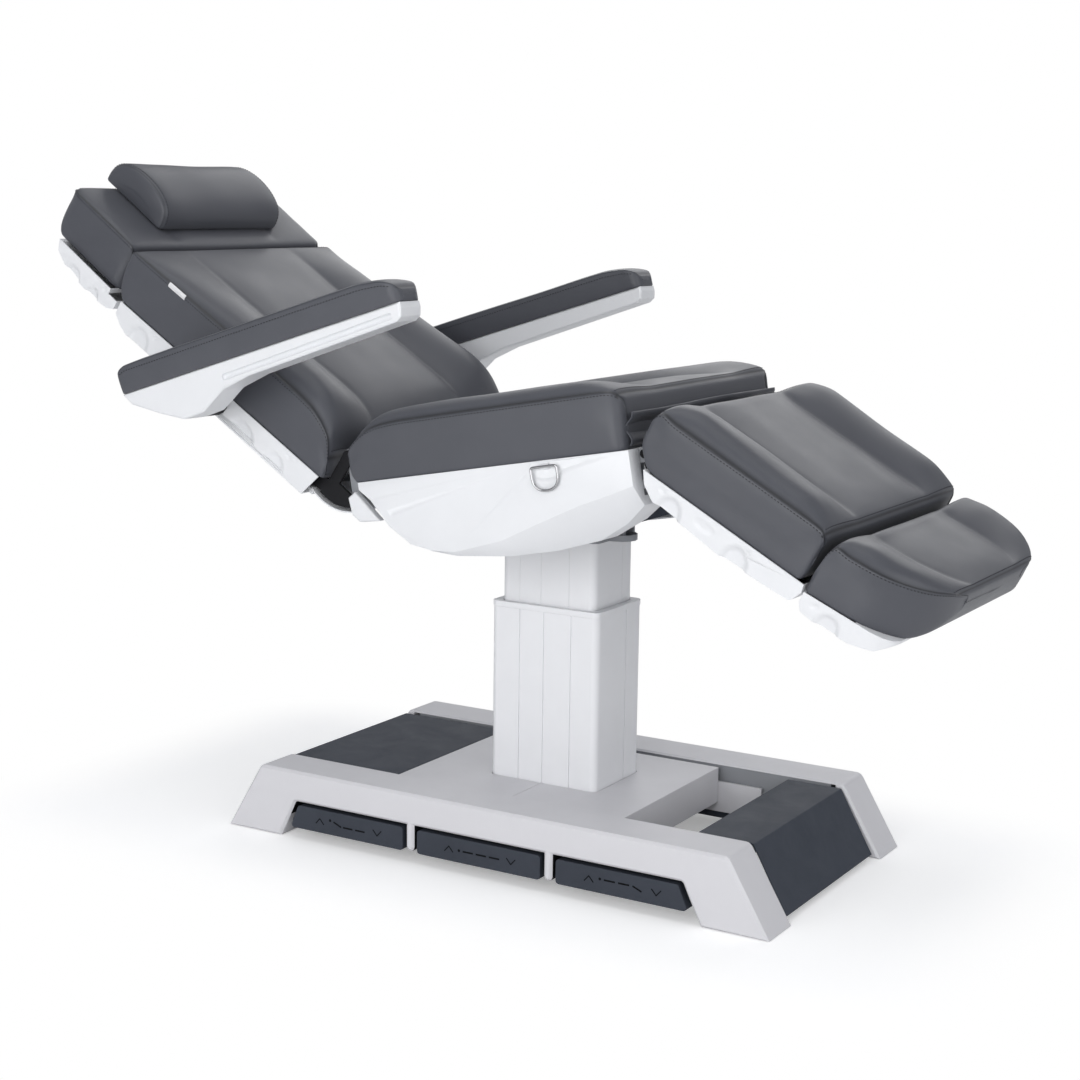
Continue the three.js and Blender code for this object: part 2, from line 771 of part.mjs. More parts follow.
// Base rails
function railOutline() {
  const tab = (side) => {
    const corners = [
      [side * tab_centre - tab_half_width, rail_cut_height], [side * tab_centre - tab_half_width, tab_bottom, tab_half_width],
      [side * tab_centre + tab_half_width, tab_bottom, tab_half_width], [side * tab_centre + tab_half_width, rail_cut_height],
    ];
    return corners;
  };
  return rounded([
    [rail_half_length, 0], [rail_top_half_length, rail_height, rail_top_radius],
    [-rail_top_half_length, rail_height, rail_top_radius], [-rail_half_length, 0], [-rail_foot_half_length, 0],
    [-rail_step_half_length, rail_step_height], [-rail_cut_half_length, rail_cut_height, pedal_radius],
    ...tab(-1), ...tab(1), [rail_cut_half_length, rail_cut_height, pedal_radius],
    [rail_step_half_length, rail_step_height], [rail_foot_half_length, 0],
  ]);
}

const pocket_bottom = rail_cut_height + rail_wall;
const pocket_top = rail_height - rail_wall;
for (const [name, side] of [['right_base_rail', -1], ['left_base_rail', 1]]) {
  const rail = slab(railOutline(), ...onSide(side, rail_inner, rail_outer), rail_edge);
  const pocket_range = onSide(side, rail_inner - overrun, rail_outer - rail_wall - rail_edge);
  const pocket_half_length = rail_top_half_length - rail_top_radius;
  const pocket = bar([-pocket_half_length, pocket_half_length], pocket_range, [pocket_bottom, pocket_top]);
  addPiece(base, name, cut(rail, pocket), rail_white());
}

// Base frame
const frame_bar_bottom = pocket_bottom + seat_gap;
const frame_bar_top = pocket_top - seat_gap;
const frame_bar_inner = rail_inner + rail_wall;
const centre_plate_top = cover_top - cover_wall - seat_gap;
const centre_plate_bottom = centre_plate_top - centre_plate_thickness;
const side_bars = [-1, 1].map((side) => bar(
  [-base_bar_half_length, base_bar_half_length],
  onSide(side, frame_bar_inner, frame_bar_inner + base_side_bar_width),
  [frame_bar_bottom, frame_bar_top],
));
const cross_bars = [-1, 1].map((side) => bar(
  side > 0 ? [base_cross_bar_near, base_bar_half_length] : [-base_bar_half_length, -base_cross_bar_near],
  [-frame_bar_inner - seat_gap, frame_bar_inner + seat_gap],
  [base_cross_bar_bottom, centre_plate_top],
));
const centre_plate = bar(
  [-centre_plate_half_length, centre_plate_half_length],
  [-frame_bar_inner - seat_gap, frame_bar_inner + seat_gap],
  [centre_plate_bottom, centre_plate_top],
);
addPiece(base, 'base_frame', joined(...side_bars, ...cross_bars, centre_plate), grey_steel());

// Pedals, from head to foot, and the brackets with their pins
const tab_outer = tab_centre + tab_half_width;
const tab_inner = tab_centre - tab_half_width;
const middle_pedal_half = tab_inner - pedal_end_play;
const outer_pedal_near = tab_outer + pedal_end_play;
const outer_pedal_top = rail_cut_half_length - pedal_end_play;
const pedal_kinds = [
  ['head', -(outer_pedal_near + outer_pedal_top) / 2],
  ['middle', 0],
  ['foot', (outer_pedal_near + outer_pedal_top) / 2],
];

function pedalOutline(kind) {
  if (kind === 'middle') {
    return rounded([
      [-middle_pedal_half, pedal_bottom, pedal_radius], [middle_pedal_half, pedal_bottom, pedal_radius],
      [middle_pedal_half, pedal_top, pedal_radius], [-middle_pedal_half, pedal_top, pedal_radius],
    ]);
  }
  const side = kind === 'foot' ? 1 : -1;
  return rounded([
    [side * outer_pedal_near, pedal_bottom, pedal_radius], [side * rail_step_half_length, pedal_bottom, pedal_radius],
    [side * outer_pedal_top, pedal_top, pedal_radius], [side * outer_pedal_near, pedal_top, pedal_radius],
  ]);
}

for (const [hand, side] of [['right', -1], ['left', 1]]) {
  const pins = pedal_kinds.map(([, x]) => pin(
    pedal_pin_radius, ...onSide(side, rail_inner - bracket_thickness / 2, pedal_pin_end), x, pedal_pin_height,
  ));
  const strip = bar(
    [-bracket_half_length, bracket_half_length],
    onSide(side, rail_inner - seat_gap - bracket_thickness, rail_inner - seat_gap),
    [bracket_bottom, bracket_top],
  );
  addPiece(base, `${hand}_pedal_bracket`, joined(strip, ...pins), grey_steel());
  for (const [kind, x] of pedal_kinds) {
    const body = slab(pedalOutline(kind), ...onSide(side, pedal_inner, pedal_outer));
    const bore = pin(
      pedal_pin_radius + seat_gap, ...onSide(side, pedal_inner - overrun, pedal_pin_end + seat_gap), x, pedal_pin_height,
    );
    addPiece(base, `${hand}_${kind}_pedal`, cut(body, bore), slate_plastic());
  }
}

// Covers of the base
const column_hole_half_x = outer_tube_half_x + seat_gap + cover_seam;
const column_hole_half_y = outer_tube_half_y + seat_gap + cover_seam;
const column_hole = plate(
  roundedRectangle(column_hole_half_x, column_hole_half_y, column_radius, column_x),
  cover_top - overrun, cover_top + overrun,
);
const cover_bottom = cover_top - cover_wall;
const cover_width = [-centre_cover_half_width, centre_cover_half_width];
const cover_head_half = bar([centre_cover_head_x, centre_cover_seam_x - cover_seam / 2], cover_width, [cover_bottom, cover_top]);
addPiece(base, 'column_cover_head', cut(cover_head_half, column_hole), rail_white());
const cover_foot_half = joined(
  bar([centre_cover_seam_x + cover_seam / 2, centre_cover_foot_x], cover_width, [cover_bottom, cover_top]),
  bar(
    [centre_cover_foot_x - cover_wall, centre_cover_foot_x], cover_width,
    [cover_top - centre_cover_skirt, cover_top],
  ),
);
addPiece(base, 'column_cover_foot', cut(cover_foot_half, column_hole), rail_white());

function endCoverOutline(near_x) {
  return [
    [near_x, cover_top], [near_x, cover_bottom], [end_cover_slope_x - cover_wall / 2, cover_bottom],
    [end_cover_toe_x - cover_wall, end_cover_toe_z], [end_cover_toe_x, end_cover_toe_z], [end_cover_slope_x, cover_top],
  ];
}
addPiece(base, 'foot_end_cover', slab(endCoverOutline(end_cover_foot_x), ...cover_width), slate_plastic());
const head_cover_plate = slab(
  endCoverOutline(-end_cover_head_x).map(([x, z]) => [-x, z]).reverse(), ...cover_width,
);
const cover_slope_share = (cover_top - inlet_z) / (cover_top - end_cover_toe_z);
const inlet_x = -(end_cover_slope_x + (end_cover_toe_x - end_cover_slope_x) * cover_slope_share);
const inlet_hole = bar(
  [inlet_x - overrun, inlet_x + overrun], [inlet_y - inlet_width / 2 - seat_gap, inlet_y + inlet_width / 2 + seat_gap],
  [inlet_z - inlet_height / 2 - seat_gap, inlet_z + inlet_height / 2 + seat_gap],
);
addPiece(base, 'head_end_cover', cut(head_cover_plate, inlet_hole), slate_plastic());
const inlet_body = bar(
  [inlet_x - cover_wall, inlet_x + inlet_depth], [inlet_y - inlet_width / 2, inlet_y + inlet_width / 2],
  [inlet_z - inlet_height / 2, inlet_z + inlet_height / 2],
);
const inlet_pocket = bar(
  [inlet_x - overrun, inlet_x + inlet_depth / 2],
  [inlet_y - inlet_width / 2 + inlet_wall, inlet_y + inlet_width / 2 - inlet_wall],
  [inlet_z - inlet_height / 2 + inlet_wall, inlet_z + inlet_height / 2 - inlet_wall],
);
addPiece(base, 'power_inlet', cut(inlet_body, inlet_pocket), slate_plastic());
addPiece(base, 'control_box', bar(
  [control_box_x - control_box_length / 2, control_box_x + control_box_length / 2],
  [-control_box_width / 2, control_box_width / 2],
  [cover_bottom - seat_gap - control_box_height, cover_bottom - seat_gap],
), slate_plastic());

// Column and lift drive
const column_foot = centre_plate_top + seat_gap;
const tubeBetween = (half_x, half_y, radius, wall, from_z, to_z) => cut(
  plate(roundedRectangle(half_x, half_y, radius, column_x), from_z, to_z),
  plate(
    roundedRectangle(half_x - wall, half_y - wall, Math.max(radius - wall, wall / 2), column_x),
    from_z - overrun, to_z + overrun,
  ),
);
const grooves = groove_x_places.map((x) => bar(
  [column_x + x - groove_width / 2, column_x + x + groove_width / 2],
  [-outer_tube_half_y - overrun, -outer_tube_half_y + groove_depth],
  [column_foot - overrun, outer_tube_top + overrun],
));
grooves.push(bar(
  [column_x + outer_tube_half_x - groove_depth, column_x + outer_tube_half_x + overrun],
  [groove_y_place - groove_width / 2, groove_y_place + groove_width / 2],
  [column_foot - overrun, outer_tube_top + overrun],
));
const outer_tube = tubeBetween(
  outer_tube_half_x, outer_tube_half_y, column_radius, column_wall, column_foot, outer_tube_top,
);
addPiece(base, 'column_outer_tube', cut(outer_tube, ...grooves), painted_column());
const trim_half_x = outer_tube_half_x + trim_lip;
const trim_half_y = outer_tube_half_y + trim_lip;
const trim_ring = cut(
  plate(
    roundedRectangle(trim_half_x, trim_half_y, column_radius, column_x),
    outer_tube_top + seat_gap, outer_tube_top + trim_height,
  ),
  plate(
    roundedRectangle(inner_tube_half_x + trim_gap, inner_tube_half_y + trim_gap, column_radius, column_x),
    outer_tube_top - overrun, outer_tube_top + trim_height + overrun,
  ),
);
addPiece(base, 'column_trim_ring', trim_ring, painted_column());
const motor = joined(
  bar(
    [column_x - motor_half_x, column_x + motor_half_x], [-motor_half_y, motor_half_y],
    [column_foot, column_foot + motor_height],
  ),
  post(guide_radius, column_foot + motor_height / 2, guide_top, column_x, 0),
);
const guide_bore = post(guide_bore_radius, column_foot + rail_wall, guide_top + overrun, column_x, 0);
addPiece(base, 'lift_motor', cut(motor, guide_bore), slate_plastic());

const lift = new THREE.Group();
base.add(lift);
addPiece(lift, 'column_inner_tube', tubeBetween(
  inner_tube_half_x, inner_tube_half_y, column_radius, column_wall, inner_tube_bottom, inner_tube_top,
), bright_steel());
addPiece(lift, 'lift_push_rod', post(push_rod_radius, push_rod_bottom, inner_tube_top, column_x, 0), bright_steel());

// Column head: plate with a tongue, two ears for the tilt pin and a clevis for the tilt actuator
const head_plate_bottom = inner_tube_top + seat_gap;
const head_plate_top = head_plate_bottom + head_plate_thickness;
const ear_outline = [
  ...arcPoints(tilt_x, tilt_z, ear_radius, 0, 180, 10),
  [tilt_x - ear_foot_half_length, head_plate_top - head_plate_thickness / 2],
  [tilt_x + ear_foot_half_length, head_plate_top - head_plate_thickness / 2],
];
const clevis_outline = [
  ...arcPoints(clevis_x, clevis_z, clevis_radius, 0, 180, 8),
  [clevis_x - clevis_radius, head_plate_top - head_plate_thickness / 2],
  [clevis_x + clevis_radius, head_plate_top - head_plate_thickness / 2],
];
const tongue_points = rounded([
  [column_x, tongue_half_width], [column_x, -tongue_half_width], [tongue_end_x, -tongue_half_width, tongue_half_width],
  [tongue_end_x, tongue_half_width, tongue_half_width],
]);
const head_solids = [
  plate(roundedRectangle(head_plate_half_x, head_plate_half_y, column_radius, column_x), head_plate_bottom, head_plate_top),
  plate(tongue_points, head_plate_bottom, head_plate_top),
];
for (const side of [-1, 1]) {
  head_solids.push(slab(ear_outline, ...onSide(side, ear_inner, ear_outer)));
  head_solids.push(slab(clevis_outline, ...onSide(side, clevis_inner, clevis_inner + clevis_plate)));
}
const clevis_half = clevis_inner + clevis_plate;
head_solids.push(pin(clevis_pin_radius, -clevis_half, clevis_half, clevis_x, clevis_z));
const tilt_bore = pin(tilt_pin_radius + seat_gap, -tilt_pin_half_length, tilt_pin_half_length, tilt_x, tilt_z);
addPiece(lift, 'column_head_bracket', cut(joined(...head_solids), tilt_bore), white_shell());
addPiece(lift, 'tilt_pin', pin(tilt_pin_radius, -tilt_pin_half_length, tilt_pin_half_length, tilt_x, tilt_z), bright_steel());

// Tilt actuator: the housing turns on the clevis pin, the rod slides out of it to the seat
const tilt_anchor = new THREE.Vector2(tilt_anchor_x, tilt_anchor_z)
  .rotateAround(new THREE.Vector2(), THREE.MathUtils.degToRad(tilt_slope)).add(new THREE.Vector2(tilt_x, tilt_z));
const tilt_line = tilt_anchor.sub(new THREE.Vector2(clevis_x, clevis_z));
const tilt_rod_end = tilt_line.length();
const tilt_drive = sectionGroup(lift, clevis_x, clevis_z, THREE.MathUtils.radToDeg(tilt_line.angle()), 0);
const tilt_eye_half = clevis_inner - running_gap;
const tilt_housing = joined(
  rod(tilt_body_radius, 0, tilt_body_length, 0, 0),
  pin(clevis_radius, -tilt_eye_half, tilt_eye_half, 0, 0),
);
const tilt_rod_bore = rod(
  tilt_rod_radius + running_gap / 2, tilt_rod_start - overrun, tilt_body_length + overrun, 0, 0,
);
addPiece(tilt_drive, 'tilt_actuator', cut(
  tilt_housing, tilt_rod_bore,
  pin(clevis_pin_radius + seat_gap, -clevis_half - overrun, clevis_half + overrun, 0, 0),
), slate_plastic());
const tilt_rod_eye = cut(
  joined(
    rod(tilt_rod_radius, tilt_rod_start, tilt_rod_end - tilt_eye_radius / 2 - tilt_eye_bore / 2, 0, 0),
    pin(tilt_eye_radius, -drive_eye_half_width, drive_eye_half_width, tilt_rod_end, 0),
  ),
  pin(tilt_eye_bore, -overrun, overrun, tilt_rod_end, 0),
);
addPiece(tilt_drive, 'tilt_actuator_rod', tilt_rod_eye, bright_steel());

// Seat
const seat = sectionGroup(lift, tilt_x, tilt_z, tilt_slope, 0);
addPiece(seat, 'seat_cushion', cushion({
  head_x: seat_head_x, foot_x: seat_foot_x, deck: deck_z, thickness: cushion_thickness, half_width: table_half_width,
  crown: cushion_crown, head_end: seat_head_end_shares, foot_end: square_end_shares, head_corner: shell_wall,
  foot_corner: shell_wall, half_section: bolster_half_shares, centre_crown: centre_crown_share,
}), upholstery());

const seat_shell_top = deck_z - seat_gap;
const hull_length = seat_shell_foot_x - seat_shell_head_x;
function hullHalf([x_share, bottom_share, crease_share, flange_share]) {
  const x = seat_shell_head_x + x_share * hull_length;
  const bottom = seat_shell_top - bottom_share * seat_shell_depth;
  const crease = seat_shell_top - crease_share * seat_shell_depth;
  const slope_run = (crease - bottom) / Math.tan(THREE.MathUtils.degToRad(underside_slope));
  const knee = table_half_width - Math.max(slope_run, shell_wall * 1.3);
  const tip = knee - Math.max(flange_share * (knee - seat_flange_inner), shell_wall / 2);
  const inner_side = table_half_width - shell_wall;
  const inner_knee = Math.max(tip + shell_wall / 10, knee - shell_wall / 3);
  return [
    [x, table_half_width, seat_shell_top], [x, table_half_width, crease], [x, knee, bottom], [x, tip, bottom],
    [x, tip, bottom + shell_wall], [x, inner_knee, bottom + shell_wall], [x, inner_side, crease + shell_wall / 2],
    [x, inner_side, seat_shell_top - seat_shell_deck],
  ];
}
const hull_rings = hull_station_shares.map((shares) => {
  const half = hullHalf(shares);
  const other = half.map(([x, y, z]) => [x, -y, z]).reverse();
  return [...half, ...other];
});
const [, , , hull_front_tip] = hull_rings.at(-1);
const front_bottom = hull_front_tip[2] + shell_wall / 2;
const front_knee = hull_rings.at(-1)[2][1];
const front_crease = hull_rings.at(-1)[1][2];
const wall_top = seat_shell_top - seat_shell_deck / 2;
const wall_side = table_half_width - shell_wall / 2;
const front_walls = [-1, 1].map((side) => gate([
  [side * front_wall_inner, wall_top], [side * front_wall_inner, front_bottom], [side * front_knee, front_bottom],
  [side * wall_side, front_crease], [side * wall_side, wall_top],
], seat_shell_foot_x - shell_wall, seat_shell_foot_x));
const clip_y = table_half_width + ring_out;
const ring_clips = [-1, 1].map((side) => joined(
  rod(ring_clip_radius, ring_x - ring_clip_half_length, ring_x + ring_clip_half_length, side * clip_y, ring_z),
  bar(
    [ring_x - ring_clip_half_length, ring_x + ring_clip_half_length],
    onSide(side, table_half_width - shell_wall / 2, clip_y), [ring_z - ring_clip_radius, ring_z + ring_clip_radius],
  ),
));
const clip_bores = [-1, 1].map((side) => rod(
  ring_wire_radius + seat_gap, ring_x - ring_half_width, ring_x + ring_half_width, side * clip_y, ring_z,
));
const lug_slots = [-1, 1].map((side) => bar(
  [seat_shell_foot_x - shell_wall - overrun, seat_shell_foot_x + overrun],
  onSide(side, leg_plate_inner - running_gap, lug_outer + running_gap),
  [0, seat_shell_top + overrun],
));
addPiece(seat, 'seat_shell', cut(
  joined(loft(hull_rings), ...front_walls, ...ring_clips), ...clip_bores, ...lug_slots,
), white_shell());

// Seat frame: side plates with the hinge lugs, beams with the tilt bosses, and cross bars
const back_lug_foot_x = back_hinge_x + lug_hub_radius;
const side_plate_outline = rounded([
  [back_hinge_x - lug_hub_radius / 2, side_plate_bottom, lug_hub_radius / 2],
  [side_plate_drop_x - head_bar_half, side_plate_bottom], [side_plate_drop_x - head_bar_half, -head_bar_half],
  [side_plate_drop_x + head_bar_half, -head_bar_half], [side_plate_drop_x + 2 * head_bar_half, side_plate_bottom],
  [leg_hinge_x, side_plate_bottom], [leg_hinge_x, side_plate_top], [back_lug_foot_x - 2 * seat_gap, side_plate_top],
  [back_hinge_x + lug_hub_radius / 2, back_hinge_z], [back_hinge_x - lug_hub_radius / 2, back_hinge_z],
]);
const beam_outline = [
  [side_plate_drop_x - head_bar_half, -head_bar_half], [-2 * ear_radius, -1.2 * ear_radius],
  [2 * ear_radius, -1.2 * ear_radius], [tray_head_x - overrun, beam_bottom_head], [tray_head_x, beam_bottom_head],
  [tray_foot_x, beam_bottom_foot], [cross_bar_foot_x + cross_bar_width, cross_bar_bottom],
  [cross_bar_foot_x + cross_bar_width, side_plate_top], [cross_bar_middle_x - cross_bar_width, side_plate_top],
  [0, 1.2 * ear_radius], [side_plate_drop_x - head_bar_half, head_bar_half],
];
const seat_frame_solids = [
  bar(
    [side_plate_drop_x - head_bar_half, side_plate_drop_x + head_bar_half], [-lug_outer, lug_outer],
    [-head_bar_half, head_bar_half],
  ),
  bar([cross_bar_middle_x, cross_bar_middle_x + cross_bar_width], [-lug_outer, lug_outer], [cross_bar_bottom, side_plate_top]),
  bar([cross_bar_foot_x, cross_bar_foot_x + cross_bar_width], [-lug_outer, lug_outer], [cross_bar_bottom, side_plate_top]),
  pin(tilt_anchor_radius, -beam_inner - seat_gap, beam_inner + seat_gap, tilt_anchor_x, tilt_anchor_z),
];
for (const side of [-1, 1]) {
  seat_frame_solids.push(slab(side_plate_outline, ...onSide(side, lug_inner, lug_outer)));
  seat_frame_solids.push(slab(beam_outline, ...onSide(side, beam_inner, beam_outer)));
  seat_frame_solids.push(pin(lug_hub_radius, ...onSide(side, lug_inner, lug_outer), back_hinge_x, back_hinge_z));
  seat_frame_solids.push(pin(hub_radius, ...onSide(side, lug_inner, lug_outer), leg_hinge_x, leg_hinge_z));
}
const frame_bore = (radius, x, z) => pin(radius + seat_gap, -table_half_width, table_half_width, x, z);
addPiece(seat, 'seat_frame', cut(
  joined(...seat_frame_solids), frame_bore(tilt_pin_radius, 0, 0),
  frame_bore(hinge_shaft_radius, back_hinge_x, back_hinge_z),
  frame_bore(hinge_shaft_radius, leg_hinge_x, leg_hinge_z),
), grey_steel());
addPiece(seat, 'back_hinge_shaft', pin(
  hinge_shaft_radius, -back_plate_outer - running_gap, back_plate_outer + running_gap, back_hinge_x, back_hinge_z,
), bright_steel());
addPiece(seat, 'leg_hinge_shaft', pin(
  hinge_shaft_radius, -lug_outer - running_gap, lug_outer + running_gap, leg_hinge_x, leg_hinge_z,
), bright_steel());

// Tray under the mechanism
const tray_top_head = beam_bottom_head - seat_gap;
const tray_top_foot = beam_bottom_foot - seat_gap;
const tray_floor = slab([
  [tray_head_x, tray_top_head], [tray_head_x, tray_top_head - tray_wall], [tray_foot_x, tray_top_foot - tray_wall],
  [tray_foot_x, tray_top_foot],
], -tray_half_width, tray_half_width);
const tray_sides = [-1, 1].map((side) => slab([
  [tray_head_x, tray_top_head + overrun], [tray_head_x, tray_top_head - tray_wall],
  [tray_foot_x, tray_top_foot - tray_wall], [tray_foot_x, tray_top_foot + overrun],
], ...onSide(side, tray_half_width - tray_wall, tray_half_width)));
addPiece(seat, 'mechanism_cover', joined(tray_floor, ...tray_sides), slate_plastic());

// Hinge covers, the flap at the leg joint and the rings
for (const [hand, side] of [['right', -1], ['left', 1]]) {
  const corners = placed(
    hinge_cover_corner_shares, hinge_cover_x, hinge_cover_length, hinge_cover_z, hinge_cover_height,
  );
  const cover = slab(rounded(corners), ...onSide(side, hinge_cover_inner, hinge_cover_outer), shell_wall);
  addPiece(seat, `${hand}_hinge_cover`, cover, white_shell());
}
addPiece(seat, 'leg_joint_flap', bar(
  [seat_foot_x + running_gap, seat_foot_x + running_gap + flap_thickness], [-flap_half_width, flap_half_width],
  [flap_bottom, flap_top],
), upholstery());
for (const [hand, side] of [['right', -1], ['left', 1]]) {
  const ring = new THREE.Group();
  ring.position.set(ring_x, side * clip_y, ring_z);
  seat.add(ring);
  const bow_radius = ring_half_width * 0.9;
  const points = rounded([
    [-ring_half_width, 0, ring_wire_radius * 1.5], [ring_half_width, 0, ring_wire_radius * 1.5],
    [ring_half_width, -ring_drop, bow_radius], [-ring_half_width, -ring_drop, bow_radius],
  ]);
  addPiece(ring, `${hand}_d_ring`, wireLoop(points, ring_wire_radius, ring_sides), bright_steel());
}

// Drives fixed in the seat: each pushes a rod whose cross pin runs in the slotted crank of a section
const back_pin_x = back_hinge_x
  - back_crank_radius * Math.tan(THREE.MathUtils.degToRad(tilt_slope - back_slope - back_swing_middle));
const back_pin_z = back_hinge_z - back_crank_radius;
const leg_pin_x = leg_hinge_x
  - leg_crank_radius * Math.tan(THREE.MathUtils.degToRad(tilt_slope - leg_slope - leg_swing_middle));
const leg_pin_z = leg_hinge_z - leg_crank_radius;
const crank_half = crank_inner + crank_plate;

function driveHousing(from_x, to_x, open_x, y, z) {
  const body = rod(drive_body_radius, from_x, to_x, y, z);
  const bore_from = open_x < from_x ? from_x - overrun : from_x + shell_wall;
  const bore_to = open_x < from_x ? to_x - shell_wall : to_x + overrun;
  return cut(body, rod(drive_rod_radius + seat_gap, bore_from, bore_to, y, z));
}

function driveRod(pin_x, inner_end_x, y, z) {
  const [from_x, to_x] = pin_x < inner_end_x ? [pin_x, inner_end_x] : [inner_end_x, pin_x];
  return joined(
    rod(drive_rod_radius, from_x, to_x, y, z),
    pin(drive_rod_radius, y - drive_eye_half_width, y + drive_eye_half_width, pin_x, z),
    pin(drive_pin_radius, y - crank_half, y + crank_half, pin_x, z),
  );
}

addPiece(seat, 'back_actuator', driveHousing(
  back_drive_body_x, back_drive_body_end_x, back_pin_x, drive_y, back_pin_z,
), slate_plastic());
addPiece(seat, 'back_actuator_rod', driveRod(
  back_pin_x, back_drive_body_x + back_rod_inside, drive_y, back_pin_z,
), bright_steel());
addPiece(seat, 'leg_actuator', driveHousing(
  leg_drive_body_x, leg_drive_body_end_x, leg_pin_x, -drive_y, leg_pin_z,
), slate_plastic());
addPiece(seat, 'leg_actuator_rod', driveRod(
  leg_pin_x, leg_drive_body_end_x - leg_rod_inside, -drive_y, leg_pin_z,
), bright_steel());

// Back
const back = sectionGroup(seat, back_hinge_x, back_hinge_z, back_slope, tilt_slope);
addPiece(back, 'back_cushion', cushion({
  head_x: back_head_x, foot_x: back_foot_x, deck: back_deck_z, thickness: cushion_thickness,
  half_width: table_half_width, crown: back_crown, head_end: back_head_end_shares, foot_end: back_foot_end_shares,
  head_corner: shell_wall, foot_corner: shell_wall, half_section: bolster_half_shares,
  centre_crown: centre_crown_share, head_crown_share: back_head_crown_share,
}), upholstery());
const back_tray_top = back_deck_z - seat_gap;
const back_tray_length = back_tray_foot_x - back_tray_head_x;
const back_corners = placed(back_tray_corner_shares, back_tray_head_x, back_tray_length, back_tray_top, -back_tray_depth);
const back_inner_width = table_half_width - shell_wall;
const back_bore = slab(trayBore(back_corners, shell_wall), -back_inner_width, back_inner_width);
const back_end_opening = bar(
  [back_bar_foot_x, overrun], [-back_inner_width, back_inner_width],
  [back_tray_top - back_tray_depth + shell_wall, back_tray_top + overrun],
);
const head_hub_slots = (x, z, inner, outer, reach) => [-1, 1].map((side) => bar(
  [x - reach, x + reach], onSide(side, inner - running_gap, outer + running_gap), [z - reach, z + reach],
));
const arm_bores = pin(arm_stub_radius + running_gap / 2, -table_half_width - overrun, table_half_width + overrun,
  arm_hinge_x, arm_hinge_z);
const lip_outline = [
  ...arcPoints(0, 0, lip_radius, lip_from, lip_to, lip_steps),
  ...arcPoints(0, 0, lip_radius - shell_wall, lip_to, lip_from, lip_steps),
];
const lip_notch_outline = [
  ...arcPoints(0, 0, lip_radius + overrun, lip_notch_from, lip_to + overrun / 2, 4),
  ...arcPoints(0, 0, lip_radius - overrun, lip_to + overrun / 2, lip_notch_from, 4),
];
const lips = [-1, 1].map((side) => cut(
  slab(lip_outline, ...onSide(side, lip_inner, lip_outer)),
  slab(lip_notch_outline, ...onSide(side, lug_inner - lip_notch_play, lug_outer + lip_notch_play)),
));
const back_hinge_slots = head_hub_slots(
  head_hinge_x, head_hinge_z - head_hinge_drop, head_plate_inner, head_ear_outer, small_hub_radius + running_gap,
);
const back_tray = tray(back_corners, [back_bore, back_end_opening, arm_bores, ...back_hinge_slots]);
const lip_roots = [-1, 1].map((side) => bar(
  [lip_root_from_x, lip_root_to_x], onSide(side, lip_inner, lip_outer),
  [back_tray_top - back_tray_depth, back_tray_top - back_tray_depth + lip_root_height],
));
addPiece(back, 'back_shell', joined(back_tray, ...lip_roots, ...lips), white_shell());

// Back frame: hinge plates, side bars, cross bars, the crank and the arm pivots
const back_crank = slottedCrank(
  back_crank_slope, back_crank_radius, back_crank_radius, back_crank_slot_length, back_crank_slot_half, drive_y,
);
const sector_outline = [
  [-neck_half_width, sector_top_z], ...arcPoints(0, 0, sector_radius, sector_from, sector_to, 8),
  [neck_half_width, sector_top_z],
];
const neck = [
  [-neck_half_width, sector_top_z - seat_gap], [neck_half_width, sector_top_z - seat_gap], [neck_half_width, 0],
  [-neck_half_width, 0],
];
const crank_neck = [
  [-neck_half_width, -back_crank_radius], [0.6 * back_crank_radius, -0.95 * back_crank_radius],
  [0.6 * back_crank_radius, -0.7 * back_crank_radius], [neck_half_width, sector_top_z],
  [neck_half_width, 0], [-neck_half_width, 0],
];
const crank_arm = [
  [back_cross_places[2], back_bar_top], [back_cross_places[2], back_bar_bottom + back_cross_half],
  [neck_half_width, back_bar_bottom + back_cross_half], [neck_half_width, back_bar_top],
];
const back_frame_solids = back_cross_places.map((x) => bar(
  [x - back_cross_half, x + back_cross_half], [-back_plate_outer, back_plate_outer],
  [back_bar_bottom + back_cross_half, back_bar_top],
));
for (const side of [-1, 1]) {
  const plate_range = onSide(side, back_plate_inner, back_plate_outer);
  back_frame_solids.push(slab(sector_outline, ...plate_range), slab(neck, ...plate_range));
  back_frame_solids.push(pin(hub_radius, ...plate_range, 0, 0));
  back_frame_solids.push(bar([back_bar_head_x, back_bar_foot_x], plate_range, [back_bar_bottom, back_bar_top]));
  back_frame_solids.push(bar([back_bar_foot_x - overrun, 0], plate_range, [-sector_radius * 0.95, back_bar_top]));
  const ear_range = onSide(side, head_ear_inner, head_ear_outer);
  const ear_z = head_hinge_z - head_hinge_drop;
  back_frame_solids.push(pin(small_hub_radius, ...ear_range, head_hinge_x, ear_z));
  back_frame_solids.push(bar([head_hinge_x, back_cross_places[0]], ear_range, [ear_z - small_hub_radius, ear_z + small_hub_radius / 2]));
  const crank_range = [-1, 1].map((edge) => onSide(edge, crank_inner, crank_inner + crank_plate));
  if (side > 0) {
    crank_range.forEach(([from_y, to_y]) => {
      back_frame_solids.push(slab(crank_neck, drive_y + from_y, drive_y + to_y));
      back_frame_solids.push(slab(crank_arm, drive_y + from_y, drive_y + to_y));
      back_frame_solids.push(pin(crank_hub_radius, drive_y + from_y, drive_y + to_y, 0, 0));
    });
  }
  const stub = onSide(side, back_plate_inner, arm_inner + arm_support_side + overrun);
  back_frame_solids.push(pin(arm_stub_radius, ...stub, arm_hinge_x, arm_hinge_z));
  const hub_range = onSide(side, table_half_width + running_gap, arm_inner + arm_support_side - running_gap);
  back_frame_solids.push(pin(arm_hub_radius, ...hub_range, arm_hinge_x, arm_hinge_z));
}
back_frame_solids.push(...back_crank.sides);
